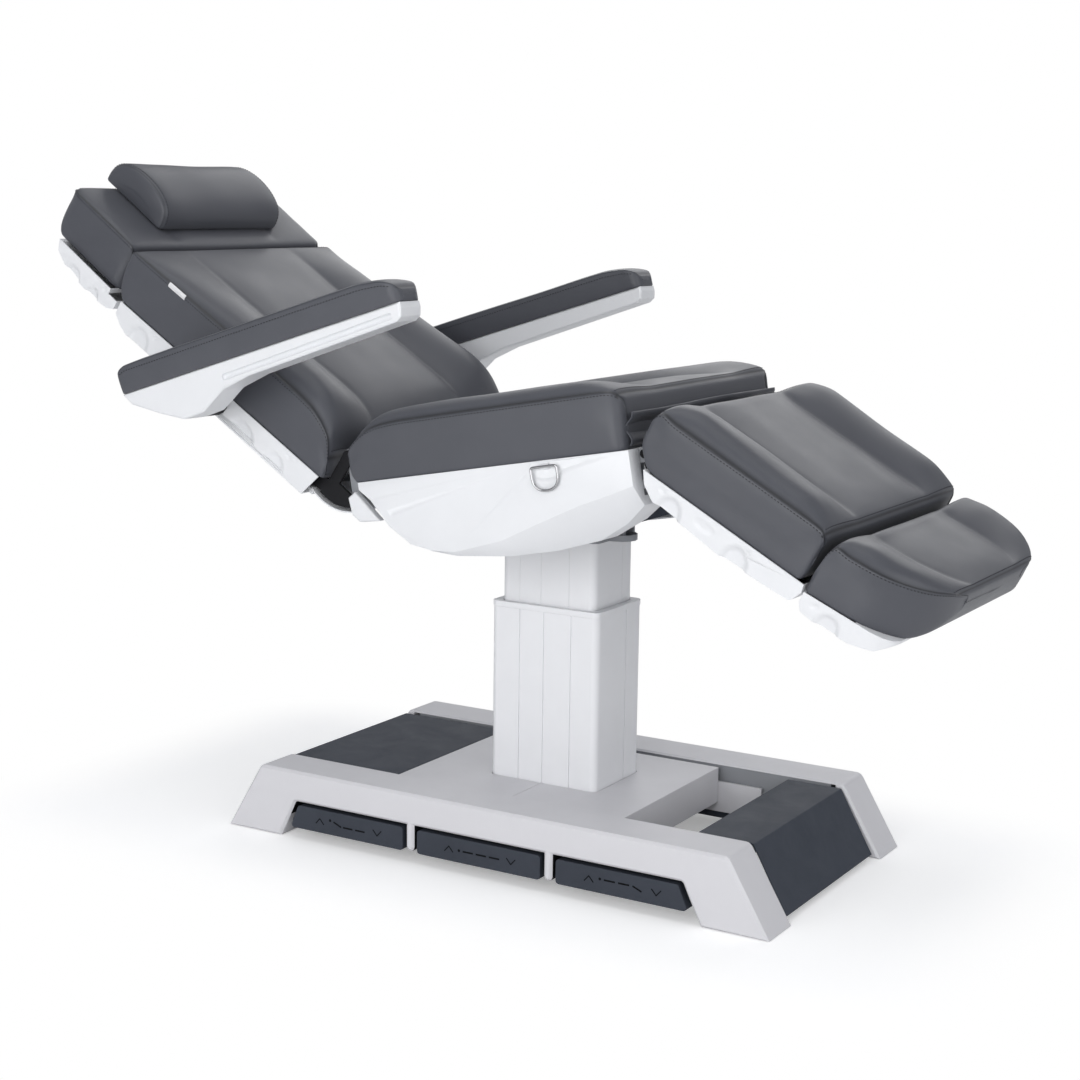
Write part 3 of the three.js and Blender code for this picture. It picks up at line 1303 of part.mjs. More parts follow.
addPiece(back, 'back_frame', cut(
  joined(...back_frame_solids), back_crank.slot, frame_bore(hinge_shaft_radius, 0, 0),
  frame_bore(small_shaft_radius, head_hinge_x, head_hinge_z - head_hinge_drop),
), black_steel());
addPiece(back, 'head_hinge_shaft', pin(
  small_shaft_radius, -head_ear_outer - running_gap, head_ear_outer + running_gap, head_hinge_x,
  head_hinge_z - head_hinge_drop,
), bright_steel());

// Head
const head = sectionGroup(back, head_hinge_x, head_hinge_z, head_slope, back_slope, head_hinge_drop);
addPiece(head, 'head_cushion', cushion({
  head_x: head_far_x, foot_x: head_foot_x, deck: head_deck_z, thickness: head_thickness,
  half_width: head_half_width, crown: head_crown, head_end: head_far_end_shares, foot_end: head_near_end_shares,
  head_corner: 3 * head_plate_thickness, foot_corner: 2 * head_plate_thickness, half_section: bolster_half_shares,
  centre_crown: centre_crown_share,
}), upholstery());
const head_tray_top = head_deck_z - seat_gap;
const head_corners = placed(
  head_tray_corner_shares, head_tray_far_x, head_tray_near_x - head_tray_far_x, head_tray_top, -head_tray_depth,
);
const head_bore = slab(trayBore(head_corners, shell_wall), -back_inner_width, back_inner_width);
const head_slot_reach = small_hub_radius + 2 * running_gap;
const head_slots = [bar(
  [-head_slot_reach, head_slot_reach], [-head_ear_outer - 2 * running_gap, head_ear_outer + 2 * running_gap],
  [-head_hinge_drop - head_slot_reach, -head_hinge_drop + head_slot_reach],
)];
addPiece(head, 'head_shell', tray(head_corners, [head_bore, ...head_slots]), white_shell());
const head_frame_solids = [
  bar([head_bar_far_x, head_bar_far_x + 2 * small_hub_radius], [-head_plate_outer, head_plate_outer],
    [head_bar_bottom, head_bar_top]),
  bar([head_bar_near_x - 2 * small_hub_radius, head_bar_near_x], [-head_plate_outer, head_plate_outer],
    [head_bar_bottom, head_bar_top]),
];
for (const side of [-1, 1]) {
  const range = onSide(side, head_plate_inner, head_plate_outer);
  head_frame_solids.push(bar([head_bar_far_x, head_bar_near_x], range, [head_bar_bottom, head_bar_top]));
  head_frame_solids.push(bar([head_bar_near_x - seat_gap, 0], range,
    [-head_hinge_drop - small_hub_radius * 0.8, -head_hinge_drop + small_hub_radius * 0.6]));
  head_frame_solids.push(pin(small_hub_radius, ...range, 0, -head_hinge_drop));
}
addPiece(head, 'head_frame', cut(
  joined(...head_frame_solids), frame_bore(small_shaft_radius, 0, -head_hinge_drop),
), black_steel());
const pillow_base = head_deck_z + head_thickness + head_crown + seat_gap;
const pillow_rings = pillow_station_shares.map(([y_share, size_share]) => (
  arcPoints(0, 0, 1, 0, 180, pillow_steps).map(([x, z]) => [
    y_share * pillow_half_width, x * size_share * pillow_half_length, z * size_share * pillow_height,
  ])
));
const pillow = loft(pillow_rings).rotateZ(Math.PI / 2).translate(pillow_x, 0, pillow_base);
addPiece(head, 'head_pillow', pillow, upholstery());

// Leg
const leg = sectionGroup(seat, leg_hinge_x, leg_hinge_z, leg_slope, tilt_slope);
addPiece(leg, 'leg_cushion', cushion({
  head_x: leg_head_x, foot_x: leg_foot_x, deck: leg_deck_z, thickness: leg_thickness, half_width: table_half_width,
  crown: leg_crown, head_end: leg_head_end_shares, foot_end: square_end_shares, head_corner: shell_wall,
  foot_corner: shell_wall, half_section: bolster_half_shares, centre_crown: centre_crown_share,
  foot_crown_share: leg_foot_crown_share,
}), upholstery());
const leg_tray_top = leg_deck_z - seat_gap;
const leg_corners = placed(
  leg_tray_corner_shares, leg_tray_head_x, leg_tray_foot_x - leg_tray_head_x, leg_tray_top, -leg_tray_depth,
);
const leg_bore = slab(trayBore(leg_corners, shell_wall), -back_inner_width, back_inner_width);
const leg_end_opening = bar(
  [leg_tray_head_x - overrun, leg_bar_head_x + 2 * overrun], [-front_wall_inner - overrun, front_wall_inner + overrun],
  [leg_tray_top - 2 * leg_tray_depth, leg_tray_top + overrun],
);
const foot_slots = [-1, 1].map((side) => bar(
  [foot_hinge_x - 2 * foot_hub_radius, foot_hinge_x + 2 * foot_hub_radius],
  onSide(side, foot_plate_inner - running_gap, leg_plate_outer + running_gap),
  [foot_hinge_z - foot_hinge_drop - foot_slot_reach, foot_hinge_z - foot_hinge_drop + foot_slot_reach],
));
const shaft_channel = (x, z, top_z) => bar(
  [x - 2 * foot_shaft_radius, x + 2 * foot_shaft_radius],
  [-leg_plate_outer - 2 * running_gap, leg_plate_outer + 2 * running_gap],
  [z - 2 * foot_shaft_radius, top_z],
);
const foot_pivot_z = foot_hinge_z - foot_hinge_drop;
foot_slots.push(shaft_channel(foot_hinge_x, foot_pivot_z, foot_pivot_z + 2 * foot_shaft_radius));
addPiece(leg, 'leg_shell', tray(leg_corners, [leg_bore, leg_end_opening, ...foot_slots]), white_shell());
const leg_crank = slottedCrank(
  leg_crank_slope, leg_crank_radius / 4, leg_crank_radius, leg_crank_slot_length, leg_crank_slot_half, -drive_y,
);
const leg_frame_solids = leg_cross_places.map((x) => bar(
  [x - leg_cross_half, x + leg_cross_half], [-leg_plate_outer, leg_plate_outer], [leg_bar_bottom, leg_bar_top],
));
for (const side of [-1, 1]) {
  const range = onSide(side, leg_plate_inner, leg_plate_outer);
  leg_frame_solids.push(bar([leg_bar_head_x, leg_cross_places[1]], range, [leg_bar_bottom, leg_bar_top]));
  leg_frame_solids.push(slab([
    [leg_bar_head_x + overrun, leg_bar_top - shell_wall], [leg_bar_head_x, leg_bar_bottom],
    [-hub_radius / 2, -hub_radius * 0.8], [hub_radius * 0.7, -hub_radius * 0.1],
  ], ...range));
  leg_frame_solids.push(pin(hub_radius, ...range, 0, 0));
  leg_frame_solids.push(bar(
    [leg_cross_places[1] - leg_cross_half, foot_hinge_x], range,
    [foot_pivot_z - foot_hub_radius * 0.8, foot_pivot_z + foot_hub_radius * 0.8],
  ));
  leg_frame_solids.push(pin(foot_hub_radius, ...range, foot_hinge_x, foot_pivot_z));
}
for (const edge of [-1, 1]) {
  const [from_y, to_y] = onSide(edge, crank_inner, crank_inner + crank_plate);
  leg_frame_solids.push(pin(crank_hub_radius, from_y - drive_y, to_y - drive_y, 0, 0));
  leg_frame_solids.push(slab([
    [leg_cross_places[0], leg_bar_bottom], [leg_cross_places[0], leg_bar_top - leg_cross_half],
    [leg_crank_radius / 3, leg_bar_top - leg_cross_half], [leg_crank_radius / 3, leg_bar_bottom],
  ], from_y - drive_y, to_y - drive_y));
}
leg_frame_solids.push(...leg_crank.sides);
addPiece(leg, 'leg_frame', cut(
  joined(...leg_frame_solids), leg_crank.slot, frame_bore(hinge_shaft_radius, 0, 0),
  frame_bore(foot_shaft_radius, foot_hinge_x, foot_pivot_z),
), black_steel());
addPiece(leg, 'foot_hinge_shaft', pin(
  foot_shaft_radius, -leg_plate_outer - running_gap, leg_plate_outer + running_gap, foot_hinge_x, foot_pivot_z,
), bright_steel());

// Foot
const foot = sectionGroup(leg, foot_hinge_x, foot_hinge_z, foot_slope, leg_slope, foot_hinge_drop);
addPiece(foot, 'foot_cushion', cushion({
  head_x: foot_head_x, foot_x: foot_foot_x, deck: foot_deck_z, thickness: foot_thickness,
  half_width: table_half_width, crown: foot_crown, head_end: foot_head_end_shares, foot_end: foot_far_end_shares,
  head_corner: shell_wall, foot_corner: foot_corner_radius, half_section: bolster_half_shares, centre_crown: centre_crown_share,
  foot_crown_share: foot_end_crown_share,
}), upholstery());
const foot_tray_top = foot_deck_z - seat_gap;
const foot_corners = placed(
  foot_tray_corner_shares, foot_tray_head_x, foot_tray_foot_x - foot_tray_head_x, foot_tray_top, -foot_tray_depth,
);
const foot_plan_half = foot_tray_foot_x - foot_tray_head_x;
const foot_plan_waste = plate([
  [foot_foot_x + overrun, -table_half_width - overrun], [foot_foot_x + overrun, table_half_width + overrun],
  [foot_tray_head_x + foot_plan_half / 2, table_half_width + overrun],
  ...rounded([
    [foot_tray_head_x + foot_plan_half / 2, table_half_width], [foot_tray_foot_x, table_half_width, foot_tray_corner_radius],
    [foot_tray_foot_x, -table_half_width, foot_tray_corner_radius], [foot_tray_head_x + foot_plan_half / 2, -table_half_width],
  ]),
  [foot_tray_head_x + foot_plan_half / 2, -table_half_width - overrun],
], foot_tray_top - 2 * foot_tray_depth, foot_tray_top + overrun);
const foot_bore_corners = trayBore(foot_corners, shell_wall);
const foot_bore = slab(foot_bore_corners, -back_inner_width, back_inner_width);
const foot_shell_slots = [-1, 1].map((side) => bar(
  [-overrun, 2 * foot_hub_radius], onSide(side, foot_plate_inner - running_gap, leg_plate_outer + running_gap),
  [-foot_hinge_drop - foot_slot_reach, -foot_hinge_drop + foot_slot_reach],
));
foot_shell_slots.push(shaft_channel(0, -foot_hinge_drop, overrun));
const foot_bore_limit = bar(
  [foot_tray_head_x - overrun, foot_tray_foot_x - foot_tray_corner_radius],
  [-back_inner_width, back_inner_width], [foot_tray_top - 2 * foot_tray_depth, foot_tray_top + 2 * overrun],
);
const foot_hollow = geometryOf(solidOf(foot_bore).intersect(solidOf(foot_bore_limit)));
addPiece(foot, 'foot_shell', tray(
  foot_corners, [foot_hollow, foot_plan_waste, ...foot_shell_slots],
), white_shell());
const foot_frame_solids = [
  bar([foot_bar_foot_x - 2 * foot_hub_radius, foot_bar_foot_x], [-foot_plate_outer, foot_plate_outer],
    [foot_bar_bottom, foot_bar_top]),
];
for (const side of [-1, 1]) {
  const range = onSide(side, foot_plate_inner, foot_plate_outer);
  foot_frame_solids.push(bar([2 * foot_hub_radius, foot_bar_foot_x], range, [foot_bar_bottom, foot_bar_top]));
  foot_frame_solids.push(bar([0, 2 * foot_hub_radius + seat_gap], range,
    [-foot_hinge_drop - foot_hub_radius * 0.8, -foot_hinge_drop + foot_hub_radius * 0.6]));
  foot_frame_solids.push(pin(foot_hub_radius, ...range, 0, -foot_hinge_drop));
}
addPiece(foot, 'foot_frame', cut(
  joined(...foot_frame_solids), frame_bore(foot_shaft_radius, 0, -foot_hinge_drop),
), black_steel());

// Arms
for (const [hand, side] of [['right', -1], ['left', 1]]) {
  const arm = sectionGroup(back, arm_hinge_x, arm_hinge_z, arm_slope, back_slope);
  const pad = cushion({
    head_x: arm_pad_rear_x, foot_x: arm_pad_tip_x, deck: arm_pad_z, thickness: arm_pad_thickness,
    half_width: arm_width / 2, crown: arm_pad_crown, head_end: arm_rear_end_shares, foot_end: arm_tip_end_shares,
    head_corner: arm_width / 5, foot_corner: arm_width / 4, half_section: pad_half_shares, centre_crown: 1,
  });
  addPiece(arm, `${hand}_arm_pad`, pad.translate(0, side * (arm_inner + arm_width / 2), 0), upholstery());
  const corners = placed(
    arm_support_corner_shares, arm_support_rear_x, arm_support_length, arm_pad_z - seat_gap, arm_support_depth,
  );
  const support_range = onSide(side, arm_inner + arm_support_side, arm_inner + arm_width - arm_support_side);
  const support = slab(rounded(corners), ...support_range, shell_wall);
  const stub_reach = onSide(side, arm_inner, arm_inner + arm_support_side + overrun + running_gap);
  const socket = pin(arm_stub_radius + seat_gap, ...stub_reach, 0, 0);
  addPiece(arm, `${hand}_arm_support`, cut(support, socket), white_shell());
}

export default table;
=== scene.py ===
"""Looks of an electric treatment table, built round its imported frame

Lengths in the tables are millimetres.
"""
import json
import math

import bmesh
import bpy
import numpy as np
from bpy.props import FloatProperty, FloatVectorProperty, PointerProperty
from mathutils import Matrix, Vector
from mathutils.bvhtree import BVHTree

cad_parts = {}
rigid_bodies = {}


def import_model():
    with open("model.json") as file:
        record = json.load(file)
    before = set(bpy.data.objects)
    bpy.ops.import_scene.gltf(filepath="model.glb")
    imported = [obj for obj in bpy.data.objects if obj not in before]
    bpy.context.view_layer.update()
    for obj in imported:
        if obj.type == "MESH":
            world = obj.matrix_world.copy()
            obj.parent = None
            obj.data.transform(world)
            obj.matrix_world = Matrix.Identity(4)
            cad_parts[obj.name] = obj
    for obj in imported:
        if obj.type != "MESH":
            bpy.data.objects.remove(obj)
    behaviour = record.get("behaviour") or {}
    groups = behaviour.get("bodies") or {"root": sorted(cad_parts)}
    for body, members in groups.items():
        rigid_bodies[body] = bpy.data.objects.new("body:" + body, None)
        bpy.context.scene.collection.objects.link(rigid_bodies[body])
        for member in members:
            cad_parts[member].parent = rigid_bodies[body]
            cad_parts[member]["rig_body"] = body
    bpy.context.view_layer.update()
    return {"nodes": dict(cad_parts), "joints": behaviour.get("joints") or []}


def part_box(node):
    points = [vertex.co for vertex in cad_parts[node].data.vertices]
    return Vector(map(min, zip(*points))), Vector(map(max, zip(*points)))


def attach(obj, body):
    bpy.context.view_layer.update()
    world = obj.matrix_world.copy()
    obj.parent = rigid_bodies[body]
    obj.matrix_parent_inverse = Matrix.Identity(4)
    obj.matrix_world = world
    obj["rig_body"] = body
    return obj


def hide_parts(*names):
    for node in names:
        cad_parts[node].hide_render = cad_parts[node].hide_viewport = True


bl_info = {
    "name": "Treatment table dressing",
    "version": (1, 0, 0),
    "blender": (4, 5, 0),
    "location": "View3D > Sidebar > Treatment table",
    "description": "Upholstery, shells and finishes of an electric treatment table",
    "category": "Object",
}

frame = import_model()
nodes = frame["nodes"]

MM = 0.001

# Joints give where each section's own frame stands, and the slopes are how far its foot end is raised
joint_places = {joint["child"]: joint["pos_m"] for joint in frame["joints"] if "pos_m" in joint}
section_table = {
    "seat": (10.4, 0.0),
    "back": (-32.5, 0.0),
    "head": (-35.6, 9.0),
    "leg": (-28.8, 0.0),
    "foot": (-24.3, 14.0),
    "right_arm": (17.4, 0.0),
    "left_arm": (17.4, 0.0),
}


def section_matrix(section):
    """The frame of a section in the world, with its lengths in millimetres"""
    slope, drop = section_table[section]
    turn = Matrix.Rotation(-math.radians(slope), 4, "Y")
    origin = Vector(joint_places[section])
    origin.y = 0.0
    origin += turn @ Vector((0.0, 0.0, drop * MM))
    return Matrix.Translation(origin) @ turn @ Matrix.Scale(MM, 4)


def in_world(section, points):
    """Points of a section, as an array of rows, in metres in the world"""
    matrix = np.array(section_matrix(section))
    points = np.asarray(points, float)
    return points @ matrix[:3, :3].T + matrix[:3, 3]


# Smooth tables

def smooth_table(xs, ys, at):
    """A smooth curve through the rows of a table that never swings past them"""
    xs, ys, at = np.asarray(xs, float), np.asarray(ys, float), np.asarray(at, float)
    step = np.diff(xs)
    rise = np.diff(ys, axis=0) / step.reshape(-1, *([1] * (ys.ndim - 1)))
    slope = np.zeros_like(ys)
    before, after = rise[:-1], rise[1:]
    same = before * after > 0
    total = np.where(same, before + after, 1.0)
    slope[1:-1] = np.where(same, 2 * before * after / total, 0.0)
    slope[0], slope[-1] = rise[0], rise[-1]
    place = np.clip(np.searchsorted(xs, at, side="right") - 1, 0, len(step) - 1)
    width = step[place]
    share = np.clip((at - xs[place]) / width, 0, 1)
    shape = [-1] + [1] * (ys.ndim - 1)
    share, width = share.reshape(shape), width.reshape(shape)
    cube, square = share ** 3, share ** 2
    return (
        (2 * cube - 3 * square + 1) * ys[place]
        + (cube - 2 * square + share) * width * slope[place]
        + (3 * square - 2 * cube) * ys[place + 1]
        + (cube - square) * width * slope[place + 1]
    )


# Cushions

# Rows from an end of a cushion: the way in, the top and the bottom, as shares of its thickness
square_end = [[0, 0.82, 0.14], [0.05, 0.93, 0.02], [0.14, 0.985, 0], [0.34, 1, 0]]
seat_head_end = [
    [0, 0.52, 0.2], [0.06, 0.61, 0.1], [0.14, 0.69, 0], [0.3, 0.81, 0], [0.55, 0.92, 0],
    [0.9, 0.98, 0], [1.35, 1, 0],
]
back_foot_end = [
    [0, 0.14, 0], [0.04, 0.38, 0], [0.12, 0.55, 0], [0.28, 0.75, 0], [0.52, 0.88, 0],
    [0.88, 0.98, 0], [1.4, 1, 0],
]
back_head_end = [[0, 0.93, 0.62], [0.05, 0.99, 0.42], [0.13, 1, 0.18], [0.24, 1, 0.03], [0.4, 1, 0]]
head_far_end = [[0, 0.86, 0.66], [0.04, 0.94, 0.45], [0.1, 0.985, 0.28], [0.2, 1, 0.1], [0.36, 1, 0]]
head_near_end = [[0, 0.3, 0], [0.05, 0.62, 0], [0.09, 0.85, 0], [0.13, 0.96, 0], [0.24, 1, 0]]
leg_head_end = [
    [0, 0.75, 0.45], [0.035, 0.93, 0.38], [0.1, 1.02, 0.28], [0.18, 1.06, 0.19],
    [0.31, 1.04, 0.06], [0.5, 1.02, 0],
]
foot_head_end = [[0, 0.35, 0], [0.05, 0.72, 0], [0.14, 0.98, 0], [0.2, 1.04, 0], [0.5, 1, 0]]
foot_far_end = [
    [0, 0.9, 0.6], [0.05, 0.98, 0.4], [0.15, 1, 0.2], [0.28, 1, 0.07], [0.4, 1, 0.01],
    [0.6, 1, 0], [0.9, 1, 0],
]
arm_rear_end = [[0, 0.5, 0.1], [0.1, 0.78, 0], [0.25, 0.9, 0], [0.6, 1, 0]]
arm_tip_end = [
    [0, 0.42, 0.04], [0.12, 0.62, 0], [0.4, 0.78, 0], [0.65, 0.86, 0], [0.9, 0.9, 0], [1.7, 0.98, 0],
]

# The outline over the top of a cushion, from its middle to its seam, as shares of half width and crown
bolster_top = [
    [0.0, 0.22], [0.3, 0.2], [0.44, 0.13], [0.52, 0.03], [0.6, 0.33], [0.7, 0.7], [0.8, 0.96], [0.885, 1.0],
    [0.955, 0.62], [0.985, 0.16], [1.0, 0.0],
]
pad_top = [[0.0, 1.0], [0.3, 0.95], [0.6, 0.8], [0.85, 0.4], [0.95, 0.12], [1.0, 0.0]]
# The side of a cushion, from its foot to its seam: share of the height, share of the half width
bolster_side = [
    [0.0, 0.985], [0.04, 0.993], [0.3, 0.997], [0.65, 0.993], [0.85, 0.997], [0.95, 1.0], [1.0, 0.996],
]
pad_side = [[0.0, 0.9], [0.15, 0.94], [0.4, 0.97], [0.8, 1.0], [0.95, 1.0], [1.0, 0.985]]

cushion_table = {
    "seat_cushion": dict(
        section="seat", head_x=-217, foot_x=352, deck=80, thickness=102, half_width=305, crown=22,
        head_end=seat_head_end, foot_end=square_end, foot_corner=24, crown_reach=0.9,
    ),
    "back_cushion": dict(
        section="back", head_x=-603, foot_x=-14, deck=-55, thickness=102, half_width=305, crown=37,
        head_end=back_head_end, foot_end=back_foot_end, head_crown_share=0.3,
    ),
    "head_cushion": dict(
        section="head", head_x=-232, foot_x=-24, deck=9.5, thickness=95, half_width=293, crown=4,
        head_end=head_far_end, foot_end=head_near_end, head_corner=35.1, foot_corner=23.4,
    ),
    "leg_cushion": dict(
        section="leg", head_x=-3, foot_x=351, deck=-10, thickness=95, half_width=305,
        head_end=leg_head_end, foot_end=square_end, foot_crown_share=0.7, crown=32, crown_reach=0.75,
    ),
    "foot_cushion": dict(
        section="foot", head_x=4, foot_x=203, deck=-2, thickness=90, half_width=305, crown=24,
        head_end=foot_head_end, foot_end=foot_far_end, foot_corner=125, foot_round=165, foot_crown_share=0.6,
        crown_reach=0.8,
    ),
    "right_arm_pad": dict(
        section="right_arm", head_x=-91, foot_x=560, deck=41.5, thickness=49, half_width=37.5, crown=5,
        head_end=arm_rear_end, foot_end=arm_tip_end, head_corner=15, foot_corner=18.75, top=pad_top,
        side=pad_side, tuck=0, centre_y=-422.5,
    ),
}
cushion_table["left_arm_pad"] = dict(cushion_table["right_arm_pad"], section="left_arm", centre_y=422.5)


def corner_inset(radius, way_in):
    """How far a round corner draws the side in, at a way in from the end"""
    way_in = np.minimum(way_in, radius)
    return radius - np.sqrt(np.maximum(radius ** 2 - (radius - way_in) ** 2, 0))


# Places near an end of a cushion, as shares of its thickness
end_steps = np.array([0, 0.012, 0.03, 0.055, 0.085, 0.12, 0.16, 0.21, 0.27, 0.34, 0.43, 0.54, 0.68, 0.84])


class CushionShape:
    """The skin of a cushion as a function of the place along it and round it"""

    def __init__(
        self, section, head_x, foot_x, deck, thickness, half_width, crown, head_end, foot_end,
        head_corner=8.0, foot_corner=8.0, head_crown_share=1.0, foot_crown_share=1.0, crown_reach=1.5,
        foot_round=None, top=bolster_top, side=bolster_side, centre_y=0.0, tuck=3.0,
    ):
        self.section, self.head_x, self.foot_x = section, head_x, foot_x
        self.deck, self.thickness, self.half_width, self.crown = deck, thickness, half_width, crown
        self.head_corner, self.foot_corner = head_corner, foot_corner
        self.foot_round, self.tuck = (foot_round or foot_corner) / foot_corner, tuck
        self.crown_shares, self.crown_reach = (head_crown_share, foot_crown_share), crown_reach
        self.top, self.side, self.centre_y = np.array(top, float), np.array(side, float), centre_y
        head = np.array(head_end, float)
        foot = np.array(foot_end, float)[::-1]
        xs = np.concatenate([head_x + head[:, 0] * thickness, foot_x - foot[:, 0] * thickness])
        self.profile = (xs, np.concatenate([head[:, 1:], foot[:, 1:]]))

    def stations(self, spacing):
        """Places along the cushion, close together near its ends"""
        ends = end_steps * self.thickness
        length = self.foot_x - self.head_x
        ends = ends[ends < length / 2 - spacing]
        count = max(2, round((length - 2 * ends[-1]) / spacing))
        body = np.linspace(self.head_x + ends[-1], self.foot_x - ends[-1], count + 1)[1:-1]
        return np.concatenate([self.head_x + ends, body, self.foot_x - ends[::-1]])

    def rows(self, x):
        """Top and bottom shares, half width and crown at places along the cushion"""
        top, bottom = smooth_table(*self.profile, x).T
        head_way, foot_way = x - self.head_x, self.foot_x - x
        half = self.half_width - corner_inset(self.head_corner, head_way)
        half = half - self.foot_round * corner_inset(self.foot_corner, foot_way)
        reach = np.minimum(1, np.minimum(head_way, foot_way) / (self.crown_reach * self.thickness))
        along = np.clip((x - self.head_x) / (self.foot_x - self.head_x), 0, 1)
        along = along ** 2 * (3 - 2 * along)
        share = self.crown_shares[0] * (1 - along) + self.crown_shares[1] * along
        return top, bottom, half, self.crown * share * np.sin(reach * math.pi / 2)

    def point(self, x, round_share):
        """Points of the skin. round_share is 0 to 1 up the side, and 1 to 2 over the top to the middle"""
        x, round_share = np.broadcast_arrays(np.asarray(x, float), np.asarray(round_share, float))
        top, bottom, half, crown = self.rows(x)
        up = np.clip(round_share, 0, 1)
        width = smooth_table(self.side[:, 0], self.side[:, 1], up.ravel()).reshape(up.shape)
        over = np.clip(2 - round_share, 0, 1)
        rise = smooth_table(self.top[:, 0], self.top[:, 1], over.ravel()).reshape(up.shape)
        y = np.where(round_share <= 1, width, over * width) * half
        raised = np.where(round_share > 1, crown * rise, 0)
        z = self.deck + self.thickness * (bottom + (top - bottom) * up) + raised
        z = z - np.where(round_share < 0.02, self.tuck, 0)
        return np.stack([x, y, z], -1)


side_shares = np.array([0, 0.03, 0.09, 0.2, 0.34, 0.48, 0.62, 0.75, 0.85, 0.91, 0.95, 0.98, 1.0])
top_shares = 2 - np.array([
    0.994, 0.985, 0.972, 0.955, 0.93, 0.9, 0.865, 0.83, 0.79, 0.745, 0.7, 0.655, 0.615, 0.58,
    0.555, 0.535, 0.52, 0.505, 0.485, 0.46, 0.42, 0.37, 0.31, 0.25, 0.19, 0.12, 0.06, 0.0,
])
foot_shares = [0.9, 0.6, 0.3, 0.0]


def closed_loft(rings, extra):
    """The skin over rings of points, with the extra values of each point"""
    vertices, values, faces = [], [], []
    count = len(rings[0])
    for ring, row in zip(rings, extra):
        vertices.extend(ring)
        values.extend(row)
    for index in range(len(rings) - 1):
        for place in range(count):
            after = (place + 1) % count
            low, high = index * count, (index + 1) * count
            faces.append((low + place, low + after, high + after, high + place))
    return np.array(vertices), np.array(values), faces


def capped(rings, extras, caps_of):
    """Rings with both ends closed by smaller ones, which keep the values of the ring they start from"""
    head, foot = caps_of(rings[0], -1.0), caps_of(rings[-1], 1.0)
    extras = [extras[0]] * len(head) + extras + [extras[-1]] * len(foot)
    return head[::-1] + rings + foot, extras


def end_caps(ring, outward):
    """The end face of a cushion: rings drawn in to the middle height of the end"""
    middle = (ring[:, 2].min() + ring[:, 2].max()) / 2
    caps = []
    for share, bulge in ((0.6, 1.2), (0.25, 1.8), (0.0, 2.0)):
        cap = ring.copy()
        cap[:, 2] = middle + (ring[:, 2] - middle) * share
        cap[:, 0] += outward * bulge * 0.5
        caps.append(cap)
    return caps


def cushion_mesh(name, shape, spacing, pad):
    """The skin of a cushion as a mesh in its section's lengths, with the way to its seams kept per point"""
    xs = shape.stations(spacing)
    tops = top_shares if not pad else 2 - np.array([0.985, 0.95, 0.88, 0.75, 0.55, 0.3, 0.0])
    sides = side_shares if not pad else np.array([0, 0.06, 0.2, 0.4, 0.6, 0.75, 0.85, 0.93, 1.0])
    shares = np.concatenate([sides, tops])
    ring_sets, extras = [], []
    for x in xs:
        half = shape.point(np.full(len(shares), x), shares)
        foot = half[0]
        under = np.array([[x, foot[1] * share, foot[2]] for share in foot_shares])
        right = half[:-1][::-1].copy()
        ring = np.concatenate([under[::-1], half, right * [1, -1, 1], under[:-1] * [1, -1, 1]])
        way_up = np.concatenate([np.zeros(4), shares, shares[:-1][::-1], np.zeros(3)])
        ring_sets.append(ring)
        extras.append(np.stack([way_up, np.full(len(ring), x)], -1))
    ring_sets, extras = capped(ring_sets, extras, end_caps)
    vertices, values, faces = closed_loft(ring_sets, extras)
    kept = {"round_share": values[:, 0], "place_x": values[:, 1]}
    return closed_mesh(name, vertices + [0, shape.centre_y, 0], faces, kept)


def link(name, data):
    """A new object at the origin that holds a mesh, a light or a camera"""
    piece = bpy.data.objects.new(name, data)
    bpy.context.scene.collection.objects.link(piece)
    return piece


def set_all(thing, values):
    """Every named value set on a thing"""
    for name, value in values.items():
        setattr(thing, name, value)
    return thing


def modify(piece, name, kind, **options):
    """A new modifier with its options"""
    return set_all(piece.modifiers.new(name, kind), options)


def mesh_from(work, name):
    """A new mesh from a working mesh, which is let go"""
    mesh = bpy.data.meshes.new(name)
    work.to_mesh(mesh)
    work.free()
    return mesh


def skin_tree(piece):
    """The skin of a piece, for finding places on it"""
    work = bmesh.new()
    work.from_mesh(piece.data)
    skin = BVHTree.FromBMesh(work)
    work.free()
    return skin


def closed_mesh(name, vertices, faces, values):
    """A closed mesh with values kept per point, its double points joined and its faces turned outward"""
    mesh = bpy.data.meshes.new(name)
    mesh.from_pydata(vertices.tolist(), [], faces)
    for label, column in values.items():
        mesh.attributes.new(label, "FLOAT", "POINT").data.foreach_set("value", column.astype(np.float32))
    work = bmesh.new()
    work.from_mesh(mesh)
    bmesh.ops.remove_doubles(work, verts=work.verts, dist=0.02)
    bmesh.ops.recalc_face_normals(work, faces=work.faces)
    work.to_mesh(mesh)
    work.free()
    return mesh


def refined(piece):
    """The piece with its mesh divided once and made smooth"""
    modify(piece, "finer", "SUBSURF", levels=1, render_levels=1)
    return settled(piece).data


def thickened(piece, thickness, offset):
    """A sheet given its thickness"""
    modify(piece, "cloth", "SOLIDIFY", thickness=thickness, offset=offset)
    settled(piece)


def grid_sheet(name, vertices, rows, columns, turned=False):
    """A sheet over rows of points, with its faces the other way round when turned"""
    faces = []
    for row in range(rows):
        for column in range(columns):
            start = row * (columns + 1) + column
            face = (start, start + 1, start + columns + 2, start + columns + 1)
            faces.append((face[0], *face[:0:-1]) if turned else face)
    mesh = bpy.data.meshes.new(name)
    mesh.from_pydata(vertices, [], faces)
    return link(name, mesh)


def smooth_shaded(mesh, sharp_angle=None):
    """Smooth shading, with edges past an angle kept sharp"""
    mesh.polygons.foreach_set("use_smooth", np.ones(len(mesh.polygons), bool))
    if sharp_angle is not None:
        mesh.set_sharp_from_angle(angle=math.radians(sharp_angle))
    mesh.update()


